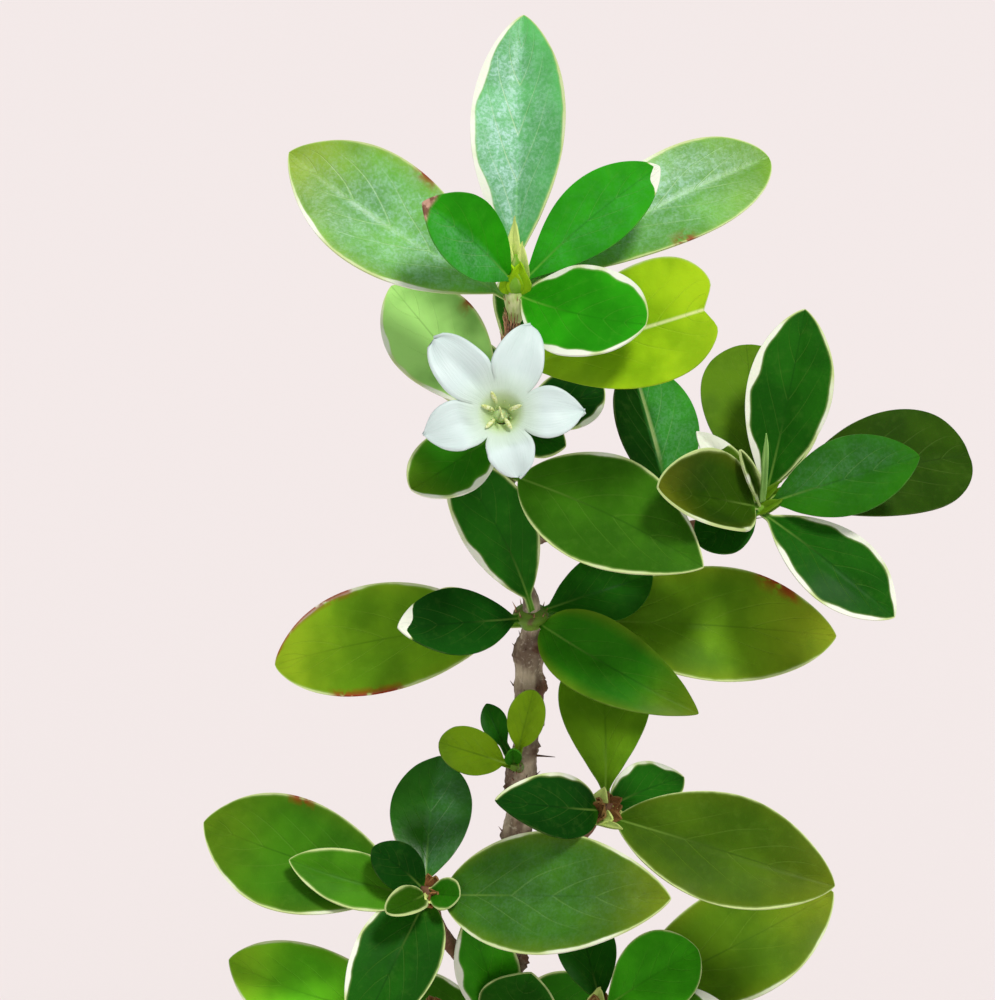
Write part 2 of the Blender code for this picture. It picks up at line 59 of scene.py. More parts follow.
# %% Helpers
def only(*things):
    """Select these objects and nothing else, the first one active."""
    bpy.ops.object.select_all(action="DESELECT")
    for thing in things:
        thing.select_set(True)
    bpy.context.view_layer.objects.active = things[0]


def start_editing(thing):
    only(thing)
    bpy.ops.object.mode_set(mode="EDIT")
    bpy.ops.mesh.select_all(action="DESELECT")


def edit_all(thing):
    """Edit mode with every part of the mesh selected."""
    start_editing(thing)
    bpy.ops.mesh.select_all(action="SELECT")


def stop_editing():
    bpy.ops.object.mode_set(mode="OBJECT")


def pick(thing, kind, wanted):
    """In edit mode, select the edges or the faces for which wanted() is true."""
    bpy.ops.mesh.select_mode(type=kind)
    bpy.ops.mesh.select_all(action="DESELECT")
    stop_editing()
    for part in thing.data.edges if kind == "EDGE" else thing.data.polygons:
        part.select = bool(wanted(part))
    bpy.ops.object.mode_set(mode="EDIT")


def named(thing, name):
    thing.name = name
    thing.data.name = name
    return thing


def new_shape(name, add, **settings):
    """What one of Blender's add operators makes, under a plain name."""
    bpy.ops.object.select_all(action="DESELECT")
    add(**settings)
    return named(bpy.context.object, name)


def linked(name, data):
    """A new object in the scene for this mesh, camera or light."""
    thing = bpy.data.objects.new(name, data)
    bpy.context.scene.collection.objects.link(thing)
    return thing


def modified(thing, kind, **settings):
    """Add one modifier with these settings and apply it."""
    modifier = thing.modifiers.new(kind.lower(), kind)
    for setting, value in settings.items():
        setattr(modifier, setting, value)
    only(thing)
    bpy.ops.object.modifier_apply(modifier=modifier.name)


def merge_points(thing, distance):
    edit_all(thing)
    bpy.ops.mesh.remove_doubles(threshold=distance * MM)
    stop_editing()


def flat_grid(name, columns, rows):
    """A flat grid from -1 to 1 both ways, and its points as rows of an array."""
    add = bpy.ops.mesh.primitive_grid_add
    grid = new_shape(name, add, x_subdivisions=columns, y_subdivisions=rows, size=2.0)
    points = np.zeros(len(grid.data.vertices) * 3, np.float32)
    grid.data.vertices.foreach_get("co", points)
    return grid, points.reshape(-1, 3)


def move_points(mesh, places):
    """Move the mesh's points to these places, in mm."""
    mesh.vertices.foreach_set("co", np.ascontiguousarray(places * MM, np.float32).ravel())


def joined(name, things):
    """All the things as one object, with their materials kept."""
    only(*things)
    if len(things) > 1:
        bpy.ops.object.join()
    return named(bpy.context.object, name)


def triangles(thing):
    return sum(len(face.vertices) - 2 for face in thing.data.polygons)


print("helpers ready")

# %% [markdown]
# ## The eye
# The leaves were placed by where they appear to someone in front of the plant, who looks down
# at 30 degrees. So the camera comes first, and the same three directions (right, above and
# toward the eye) place everything that follows.

# %% Camera
EYE_DISTANCE = 350.0
EYE_TILT = math.radians(30.0)
EYE_LEVEL = Vector((-1.1, 0.0, 109.0))
PICTURE_TALL = 80.0
RIGHT = Vector((1.0, 0.0, 0.0))
TOWARD = Vector((0.0, -math.cos(EYE_TILT), math.sin(EYE_TILT)))
ABOVE = Vector((0.0, math.sin(EYE_TILT), math.cos(EYE_TILT)))

eye = bpy.data.cameras.new("eye")
eye.sensor_width = 36.0
eye.lens = eye.sensor_width * EYE_DISTANCE / PICTURE_TALL
eye.clip_start = 0.01
camera = linked("eye", eye)
camera.location = (EYE_LEVEL + TOWARD * EYE_DISTANCE) * MM
camera.rotation_euler = (math.pi / 2 - EYE_TILT, 0.0, 0.0)
bpy.context.scene.camera = camera
print("lens", round(eye.lens, 1), "mm")


def seen(right, up, toward):
    """The place in mm that appears there, with its distance from the eye allowed for."""
    spread = 1.0 - toward / EYE_DISTANCE
    across = RIGHT * (right - EYE_LEVEL.x) + ABOVE * up
    return EYE_LEVEL + across * spread + TOWARD * toward


def nearness(place):
    return (place - EYE_LEVEL).dot(TOWARD)


# %% [markdown]
# ## Node helpers for finishes
# A finish is a small network of nodes. Writing each node out in full takes many lines, so one
# short class adds nodes and wires them. A plain number or colour is set on the socket itself.
# Colours were picked as numbers from 0 to 255 and become the shader's linear ones.


# %% Finish helper
def linear(red, green, blue):
    """A colour of 0 to 255 a channel as the shader's linear colour."""
    channels = []
    for value in (red / 255, green / 255, blue / 255):
        channels.append(value / 12.92 if value <= 0.04045 else ((value + 0.055) / 1.055) ** 2.4)
    return (*channels, 1.0)


def as_colour(value):
    """Three plain numbers become a linear colour; a socket or a linear colour stays."""
    return linear(*value) if isinstance(value, tuple) and len(value) == 3 else value


class Finish:
    """A material and the nodes that colour it."""

    def __init__(self, name, roughness=0.5, **sockets):
        self.material = bpy.data.materials.new(name)
        self.material.use_nodes = True
        self.tree = self.material.node_tree
        self.shader = self.tree.nodes["Principled BSDF"]
        self.shader.inputs["Roughness"].default_value = roughness
        for socket, value in sockets.items():
            self.shader.inputs[socket.replace("_", " ")].default_value = value

    def plug(self, socket, value):
        """Wire a node's output to the socket, or set a number or a colour on it."""
        if isinstance(value, bpy.types.NodeSocket):
            self.tree.links.new(value, socket)
        else:
            socket.default_value = value

    def node(self, kind, values, output=0, **settings):
        made = self.tree.nodes.new(kind)
        for setting, value in settings.items():
            setattr(made, setting, value)
        for key, value in values.items():
            self.plug(made.inputs[key], value)
        return made.outputs[output]

    def place(self):
        return self.node("ShaderNodeTexCoord", {}, output="Object")

    def texture_map(self):
        return self.node("ShaderNodeUVMap", {}, uv_map="UVMap")

    def stretched(self, scale, where=None):
        """Object coordinates, or others, drawn out along one or two axes."""
        return self.node("ShaderNodeMapping", {"Vector": where or self.place(), "Scale": scale})

    def split(self, place):
        """The three numbers of a place."""
        parts = self.tree.nodes.new("ShaderNodeSeparateXYZ")
        self.plug(parts.inputs[0], place)
        return parts.outputs

    def attribute(self, name, output="Fac"):
        return self.node("ShaderNodeAttribute", {}, output=output, attribute_name=name)

    def noise(self, scale, detail=4.0, roughness=0.55, where=None, distortion=0.0):
        values = {
            "Vector": where or self.place(),
            "Scale": scale,
            "Detail": detail,
            "Roughness": roughness,
            "Distortion": distortion,
        }
        return self.node("ShaderNodeTexNoise", values)

    def cells(self, scale, where=None):
        values = {"Vector": where or self.place(), "Scale": scale}
        return self.node("ShaderNodeTexVoronoi", values, output="Distance")

    def math(self, operation, *numbers, clamp=False):
        values = dict(enumerate(numbers))
        return self.node("ShaderNodeMath", values, operation=operation, use_clamp=clamp)

    def times(self, first, second, clamp=False):
        return self.math("MULTIPLY", first, second, clamp=clamp)

    def between(self, value, low, high, to_low=0.0, to_high=1.0):
        """A smooth step from one level to another as the value goes from low to high."""
        values = {0: value, 1: low, 2: high, 3: to_low, 4: to_high}
        return self.node("ShaderNodeMapRange", values, interpolation_type="SMOOTHSTEP")

    def mix(self, factor, first, second, blend="MIX"):
        values = {0: factor, 6: as_colour(first), 7: as_colour(second)}
        settings = {"data_type": "RGBA", "blend_type": blend}
        return self.node("ShaderNodeMix", values, output=2, **settings)

    def over(self, colour, tone, value, low, high, *levels):
        """The colour with the tone laid over it, as much as between() gives."""
        return self.mix(self.between(value, low, high, *levels), colour, tone)

    def bump(self, height, distance, strength=1.0, normal=None):
        values = {"Height": height, "Distance": distance, "Strength": strength}
        if normal:
            values["Normal"] = normal
        return self.node("ShaderNodeBump", values)

    def finish(self, colour, pattern=None, smooth_end=0.0, rough_end=1.0, relief=None):
        """Wire it up; the roughness goes from one end to the other with the pattern."""
        self.plug(self.shader.inputs["Base Color"], colour)
        if pattern is not None:
            rough = self.between(pattern, 0.3, 0.7, smooth_end, rough_end)
            self.plug(self.shader.inputs["Roughness"], rough)
        if relief is not None:
            self.plug(self.shader.inputs["Normal"], relief)
        return self.material


print("finish helper ready")

# %% [markdown]
# ## Leaf finish
# A variegated leaf is green with a pale midrib and pale side veins that curve to the tip. Its
# margin is cream, of uneven width, with a grey-green band where cream meets green. Old leaves
# turn yellow at the tip and get rusty spots on the margin. Each leaf carries attributes on its
# own mesh: its tint, with painted light and shade in it, the distance in mm to its margin and
# to its midrib, the cream band's width, its painted bluish-white sheen, a painted highlight on
# its midrib ridge, its age, its rust and its withered tip. So one network serves every leaf,
# and each differs. It makes two materials: a matt one, and a glossy one for the youngest leaves.

# %% Leaf upper side
SIDE_VEINS = 8.0
VEIN_SLANT, VEIN_CURVE = 0.36, 1.15
VEIN_GREEN = (172, 208, 96)
LIGHT_DEPTH = 0.0008


def side_vein_lines(finish, width):
    """Lines that leave the midrib and curve forward, strongest in the middle of the blade."""
    across, along, _ = finish.split(finish.texture_map())
    out = finish.math("ABSOLUTE", finish.math("MULTIPLY_ADD", across, 2.0, -1.0))
    slant = finish.times(finish.math("POWER", out, VEIN_CURVE), VEIN_SLANT)
    count = finish.times(finish.math("SUBTRACT", along, slant), SIDE_VEINS)
    wobble = finish.times(finish.noise(160.0, 1.0), 0.5)
    turn = finish.math("FRACT", finish.math("ADD", count, wobble))
    away = finish.math("ABSOLUTE", finish.math("SUBTRACT", turn, 0.5))
    line = finish.between(away, 0.0, width, 1.0, 0.0)
    return finish.times(line, finish.between(out, 0.3, 0.85, 1.0, 0.0))


def leaf_green(upper, tint, veins, cloudy, fine):
    """The green part: cloudy, with pale veins."""
    darker = upper.mix(1.0, tint, (205, 215, 200), "MULTIPLY")
    pale_green = upper.mix(0.16, tint, VEIN_GREEN)
    green = upper.over(darker, tint, cloudy, 0.35, 0.65)
    green = upper.over(green, pale_green, fine, 0.5, 0.72, 0.0, 0.12)
    # Pale side veins, made paler still where the painted sheen lies.
    vein_light = upper.math("ADD", upper.attribute("bloom"), 0.32)
    return upper.mix(upper.times(veins, vein_light, clamp=True), green, pale_green)


def midrib_over(upper, green, tint, rib_end_tint):
    midrib = upper.between(upper.attribute("rib_mm"), 0.02, 0.14, 1.0, 0.0)
    rib_end = upper.mix(1.0, tint, rib_end_tint, "MULTIPLY")
    rib_foot = upper.mix(0.34, tint, VEIN_GREEN)
    along = upper.split(upper.texture_map())[1]
    rib_green = upper.over(rib_foot, rib_end, along, 0.2, 0.5)
    return upper.mix(upper.times(midrib, 0.75), green, rib_green)


def sheen_over(upper, green, veins, pores):
    """Painted sheen: bluish-white highlights in glints and dots, brighter painted highlights on
    the veins under them, and a painted highlight along the midrib ridge.
    """
    # All three layers here are painted highlights, mixed into the base colour.
    bloom = upper.attribute("bloom")
    glints = upper.between(upper.noise(1150.0, 4.0, distortion=0.5), 0.32, 0.66, 0.5, 1.15)
    dots = upper.between(pores, 0.4, 0.6, 0.55, 1.15)
    sheen = upper.times(upper.times(bloom, glints), dots, clamp=True)
    green = upper.mix(sheen, green, (198, 238, 228))
    bright_vein = upper.times(upper.times(veins, bloom), 0.8, clamp=True)
    green = upper.mix(bright_vein, green, (206, 236, 190))
    # A pale yellow painted highlight along the midrib ridge.
    near_rib = upper.between(upper.attribute("rib_mm"), 0.06, 0.26, 1.0, 0.0)
    return upper.mix(upper.times(upper.attribute("ridge"), near_rib), green, (234, 242, 168))


def cream_over(upper, green, tint):
    """The cream margin with its ragged edge, and grey-green where it meets the green."""
    ragged = upper.math("MULTIPLY_ADD", upper.noise(700.0, 2.0), 0.18, -0.09)
    inside = upper.math("ADD", upper.attribute("edge_mm"), ragged)
    inside = upper.math("SUBTRACT", inside, upper.attribute("cream_mm"))
    grey_green = upper.mix(0.5, tint, (190, 208, 120))
    green = upper.over(green, grey_green, inside, 0.04, 0.2, 0.4, 0.0)
    narrow, wide = (202, 218, 146), (242, 245, 226)
    creamy = upper.over(narrow, wide, upper.attribute("cream_mm"), 0.14, 0.34)
    return upper.over(green, creamy, inside, -0.06, 0.07, 1.0, 0.0)


def leaf_upper(name, roughness, shine, rib_end_tint):
    """The upper side of a blade; a young top leaf shines more than an old one."""
    upper = Finish(
        name,
        roughness=roughness,
        Coat_Weight=shine * 0.2,
        Coat_Roughness=0.22,
        Specular_IOR_Level=shine,
        Subsurface_Weight=0.05,
        Subsurface_Radius=(0.4, 1.0, 0.2),
        Subsurface_Scale=LIGHT_DEPTH,
    )
    tint = upper.attribute("tint", "Color")
    cloudy = upper.noise(180.0, 3.0)
    fine = upper.noise(1500.0, 3.0)
    pores = upper.noise(4200.0, 2.0)
    veins = side_vein_lines(upper, 0.06)
    colour = leaf_green(upper, tint, veins, cloudy, fine)
    colour = midrib_over(upper, colour, tint, rib_end_tint)
    colour = sheen_over(upper, colour, veins, pores)
    yellowed = upper.mix(cloudy, (168, 160, 24), (206, 176, 50))
    age_there = upper.between(cloudy, 0.25, 0.6, 0.55, 1.0)
    colour = upper.mix(upper.times(upper.attribute("age"), age_there), colour, yellowed)
    colour = cream_over(upper, colour, tint)
    blotch = upper.between(upper.noise(1100.0, 2.0), 0.34, 0.48)
    rust = upper.times(upper.attribute("rust"), blotch, clamp=True)
    colour = upper.mix(rust, colour, upper.mix(fine, (176, 52, 22), (120, 42, 16)))
    papery = upper.over((206, 160, 140), (128, 88, 70), fine, 0.4, 0.6)
    colour = upper.mix(upper.attribute("wither"), colour, papery)
    relief = upper.bump(upper.math("SUBTRACT", 1.0, veins), 0.00005, 0.6)
    relief = upper.bump(fine, 0.00006, 0.6, relief)
    relief = upper.bump(pores, 0.00003, 0.6, relief)
    return upper.finish(colour, cloudy, roughness - 0.04, roughness + 0.05, relief)


LEAF_MATT = leaf_upper("leaf_upper", 0.58, 0.06, (196, 206, 190))
LEAF_GLOSSY = leaf_upper("leaf_glossy", 0.4, 0.3, (255, 255, 255))
print("leaf nodes:", len(LEAF_MATT.node_tree.nodes))

# %% [markdown]
# ## Leaf underside
# The underside of a leaf is paler and duller, and its midrib and side veins stand out. It
# reads the same attributes and vein lines with fewer layers, because it is seldom seen.

# %% Leaf underside
under = Finish("leaf_under", roughness=0.55, Specular_IOR_Level=0.3)
tint = under.attribute("tint", "Color")
soft = under.noise(420.0, 3.0)
colour = under.mix(0.34, tint, (150, 176, 118))
colour = under.over(colour, (168, 190, 130), soft, 0.35, 0.7, 0.0, 0.3)
veins = side_vein_lines(under, 0.07)
colour = under.mix(under.times(veins, 0.4), colour, (186, 204, 140))
midrib = under.between(under.attribute("rib_mm"), 0.08, 0.32, 1.0, 0.0)
colour = under.mix(under.times(midrib, 0.6), colour, (190, 206, 138))
margin = under.math("SUBTRACT", under.attribute("edge_mm"), under.attribute("cream_mm"))
colour = under.over(colour, (226, 232, 186), margin, -0.05, 0.05, 1.0, 0.0)
LEAF_UNDER = under.finish(colour, soft, 0.5, 0.64, under.bump(veins, 0.0001, 0.6))
print("underside nodes:", len(under.tree.nodes))

# %% [markdown]
# ## One blade
# Every leaf starts from the same flat blade: a grid that is 12 faces wide and 60 long. Its
# rows are drawn closer together at both ends, where the outline curves most. Its texture map
# comes with the grid: across the leaf from 0 to 1, and along it from stalk to tip.

# %% The flat blade
COLUMNS, ROWS = 12, 60
FLAT_BLADE, corners = flat_grid("flat_blade", COLUMNS, ROWS)
ACROSS = corners[:, 0].copy()
OUT = np.abs(ACROSS)
share = (corners[:, 1] + 1.0) / 2.0
ALONG = 0.2 * share + 0.4 * (1.0 - np.cos(math.pi * share))
FLAT_BLADE.data.materials.append(LEAF_MATT)
FLAT_BLADE.data.materials.append(LEAF_UNDER)
FLAT_BLADE.hide_render = True
print("blade:", len(FLAT_BLADE.data.vertices), "points")

# %% [markdown]
# ## Tones and looks
# The greens of the leaves run from nearly black in the shade to lime at the top, so each leaf
# names one of a few tones, and these tones hold painted shade and light as well as the leaves'
# own greens. A look says all else that a leaf can differ in, painted sheen, highlights, light and
# shade among it. The table holds the usual value of each, and a leaf's own row in the table
# below only names what it changes.

# %% Tones and looks
TONES = {
    "black": (14, 68, 6),
    "dark": (28, 92, 8),
    "deep": (42, 114, 8),
    "vivid": (44, 160, 12),
    "fresh": (90, 190, 92),
    "mid": (66, 126, 14),
    "spring": (104, 184, 34),
    "lime": (172, 216, 26),
    "olive": (84, 120, 14),
    "dusk": (50, 84, 5),
    "pale": (164, 214, 118),
    "young": (106, 140, 10),
    "straw": (206, 216, 128),
    "husk": (128, 84, 52),
}
TONES = {tone: np.array(linear(*colour)) for tone, colour in TONES.items()}
# Pairs are for the left and the right half. Where a value is None, each leaf draws its own.
LOOK = {
    "tone": "deep",
    "cream": (0.12, 0.12),
    "age": 0.0,
    "rust": (),
    "white_tip": 0.0,
    "wither": 0.0,
    "roll": 0.0,
    "fold": None,
    "arch": None,
    "sweep": None,
    "cup": 0.0,
    "base": 1.0,
    "point": 0.78,
    "stalk": 0.07,
    "notch": 0.0,
    # From here on, all but glossy paint light into the tint: a highlight along the midrib ridge,
    # a bluish-white sheen on each half, a darker and a brighter half for a folded leaf, and a
    # factor for the whole leaf that is partly its own tone and partly painted light and shade.
    "ridge": 0.0,
    "bloom": (0.0, 0.0),
    "glossy": False,
    "halves": (1.0, 1.0),
    "light": 1.0,
}
DRAWN = {"fold": (0.10, 0.26), "arch": (0.03, 0.07), "sweep": (-0.025, 0.025)}


def like(tone="deep", left=0.12, right=0.12, **more):
    """A look: its tone, its cream band's width on the left and right, and what else differs."""
    return {"tone": tone, "cream": (left, right), **more}


print("tones:", ", ".join(TONES))

# %% [markdown]
# ## Laying a leaf
# A real blade is bent in four ways: it arches from stalk to tip, folds up a little on both
# sides of the midrib, puckers between its side veins and waves at its margin. All four are
# small heights added to the flat blade, so each copy is laid straight from its stalk's foot to
# its tip with the heights on top. Pushing points in code is exact here, where a bend modifier
# would lose the tip's place.

# %% Laid leaves
LEAF_FACE = (TOWARD + Vector((0.0, 0.0, 0.4))).normalized()
LEAF_THICK = 0.17
STALK_HALF = 0.27
RIB_HALF, RIB_DEEP = 0.26, 0.14
PUCKER = 0.006


def smooth(value, low, high):
    """0 below low, 1 above high, and a smooth step between."""
    part = np.clip((value - low) / (high - low), 0.0, 1.0)
    return part * part * (3.0 - 2.0 * part)


def half_width(width, along, base, point, stalk):
    """Half the blade's width at each share of its length, with a stalk at its foot."""
    part = np.clip((along - stalk) / (1.0 - stalk), 0.0, 1.0)
    widest = base / (base + point)
    peak = widest**base * (1.0 - widest) ** point
    full = part**base * (1.0 - part) ** point / peak
    least = min(STALK_HALF, width / 2) * (1.0 - smooth(along, 0.3, 1.0))
    return np.maximum(width / 2 * full, least) + 0.01


def write_attribute(mesh, name, kind, values):
    made = mesh.attributes.new(name, kind, "POINT")
    key = "color" if kind == "FLOAT_COLOR" else "value"
    made.data.foreach_set(key, np.ascontiguousarray(values, np.float32).ravel())


def cream_width(look, phase):
    """How wide the cream band is along each margin, in mm; a white tip is cream right across."""
    wanted = np.where(ACROSS < 0, look["cream"][0], look["cream"][1])
    ripple = np.sin(ALONG * 13 + phase + ACROSS) + 0.6 * np.sin(ALONG * 31 + 2 * phase)
    ends = smooth(ALONG, 0.04, 0.3), 1 - 0.5 * smooth(ALONG, 0.85, 1.0)
    band = wanted * (1 + 0.38 * ripple) * ends[0] * ends[1] + 0.01
    band = np.where(wanted > 0, band, -0.15)
    if look["white_tip"]:
        slanted = ALONG + 0.05 * ACROSS + 0.015 * np.sin(5 * ACROSS)
        start = 1 - look["white_tip"]
        band += 4.0 * smooth(slanted, start - 0.05, start + 0.05)
    return band


def rust_spots(look, edge):
    """Each spot is the side it is on, where it starts and ends, and how far in it reaches."""
    rust = np.zeros(len(ALONG))
    for hand, low, high, deep in look["rust"]:
        window = smooth(ALONG, low - 0.03, low + 0.01)
        window = window * (1 - smooth(ALONG, high - 0.01, high + 0.03))
        rust += window * (1 - smooth(edge, deep * 0.5, deep)) * (ACROSS * hand > 0)
    return rust


def paint_leaf(mesh, look, half, phase, draw):
    """Write what the leaf finish reads onto the mesh."""
    edge = (1 - OUT) * half
    old = look["age"] * np.maximum(smooth(ALONG, 0.6, 1.0), 0.6 * smooth(OUT, 0.72, 1.0))
    rust = rust_spots(look, edge)
    wither = np.zeros(len(ALONG))
    if look["wither"]:
        wither = smooth(ALONG, 1 - look["wither"], 1.0 - look["wither"] * 0.6)
    # A small random change of tone, then painted light and shade: the whole leaf and each half of
    # a folded leaf made lighter or darker as its look says.
    halves = smooth(ACROSS, -0.12, 0.12)
    shade = draw.uniform(0.94, 1.06) * look["light"]
    tone = TONES[look["tone"]] * (shade, shade, shade, 1.0)
    shades = look["halves"][0] * (1 - halves) + look["halves"][1] * halves
    pale_foot = 0.35 * (1 - smooth(ALONG, 0.02, 0.16))[:, None]
    tints = np.outer(shades, tone) * (1 - pale_foot) + TONES["spring"] * pale_foot
    # Painted sheen, strongest in the middle of the blade and near the midrib.
    bloom = look["bloom"][0] * (1 - halves) + look["bloom"][1] * halves
    bloom *= np.sin(math.pi * np.clip(ALONG, 0, 1)) ** 0.6 * (1 - 0.6 * OUT**2)
    write_attribute(mesh, "tint", "FLOAT_COLOR", tints)
    written = {
        "edge_mm": edge,
        "rib_mm": np.abs(ACROSS * half) + 0.05 * smooth(ALONG, 0.3, 0.95),
        "cream_mm": cream_width(look, phase),
        "bloom": bloom,
        # The painted highlight on the ridge starts about a third of the way along.
        "ridge": look["ridge"] * smooth(ALONG, 0.3, 0.5),
        "age": np.clip(old, 0, 1),
        "rust": np.clip(rust, 0, 1),
        "wither": wither,
    }
    for name, values in written.items():
        write_attribute(mesh, name, "FLOAT", values)


def lay_leaf(name, start, tip, width, look, draw):
    """A copy of the flat blade from start to tip, in mm, with its own shape and tint."""
    look = {**LOOK, **look}
    for bend, (low, high) in DRAWN.items():
        if look[bend] is None:
            look[bend] = draw.uniform(low, high)
    line = tip - start
    length = line.length
    along = line.normalized()
    normal = (LEAF_FACE - along * LEAF_FACE.dot(along)).normalized()
    normal = Matrix.Rotation(math.radians(look["roll"]), 3, along) @ normal
    side = along.cross(normal).normalized()
    phase, depth = draw.uniform(0, 6.28), draw.uniform(0.012, 0.03)
    half = half_width(width, ALONG, look["base"], look["point"], look["stalk"])
    x = ACROSS * half
    height = look["arch"] * length * 4 * ALONG * (1 - ALONG) + look["fold"] * np.abs(x)
    height += look["cup"] * x * x / max(width / 2, 0.1)
    groove = smooth(ALONG, 0.02, 0.2) * (1 - smooth(ALONG, 0.75, 1.0))
    height -= RIB_DEEP * np.exp(-((x / RIB_HALF) ** 2)) * groove
    puckers = np.cos(2 * math.pi * SIDE_VEINS * (ALONG - VEIN_SLANT * OUT**VEIN_CURVE))
    height += PUCKER * width * puckers * groove * OUT * (1 - OUT**3)
    waves = np.sin(2 * math.pi * 1.6 * ALONG + phase + 1.7 * np.sign(ACROSS))
    waves = depth * width * waves * OUT**3 * smooth(ALONG, 0.12, 0.4)
    height += waves * (1 - smooth(ALONG, 0.86, 0.98))
    dip = np.exp(-((x / (0.12 * width)) ** 2))
    reach = ALONG - look["notch"] * smooth(ALONG, 0.8, 1.0) * dip
    drift = look["sweep"] * length * 4 * ALONG * (1 - ALONG)
    places = np.outer(reach * length, along) + np.outer(x + drift, side)
    places += np.outer(height + LEAF_THICK / 2, normal) + np.array(start)

    mesh = FLAT_BLADE.data.copy()
    mesh.materials[0] = LEAF_GLOSSY if look["glossy"] else LEAF_MATT
    move_points(mesh, places)
    paint_leaf(mesh, look, half, phase, draw)
    return linked(name, mesh)


def thickened(blades, name, thick):
    """The joined blades with a thickness below their upper side and a soft, shaded edge."""
    sheet = joined(name, blades)
    modified(sheet, "SOLIDIFY", thickness=thick * MM, offset=-1.0, material_offset=1)
    bpy.ops.object.shade_smooth_by_angle(angle=math.radians(70.0))
    return sheet


print("a leaf is", LEAF_THICK, "mm thick")

# %% [markdown]
# ## Every leaf's place
# The table gives each leaf's tip as it appears from the eye: right of the stem's foot, up from
# the eye's level, and nearer than its own node. After its width come its lift along the shoot
# and its look. The numbers started as the plain model's own. Some were then changed a little,
# mostly by less than a millimetre, because finer shapes show finer differences, and two tiny
# stipules were added. A shoot's own numbers are its node, its axis and its sheath: a ring
# with its bore, or a bud with its length and radius.

# %% Leaf table
UPRIGHT = (0, 0, 1)
Leaf = namedtuple("Leaf", "right up toward width lift swing look")
Shoot = namedtuple("Shoot", "node axis sheath sizes leaves")


def leaf(right, up, toward, width, lift=0, *look, swing=0, **more):
    return Leaf(right, up, toward, width, lift, swing, like(*look, **more))
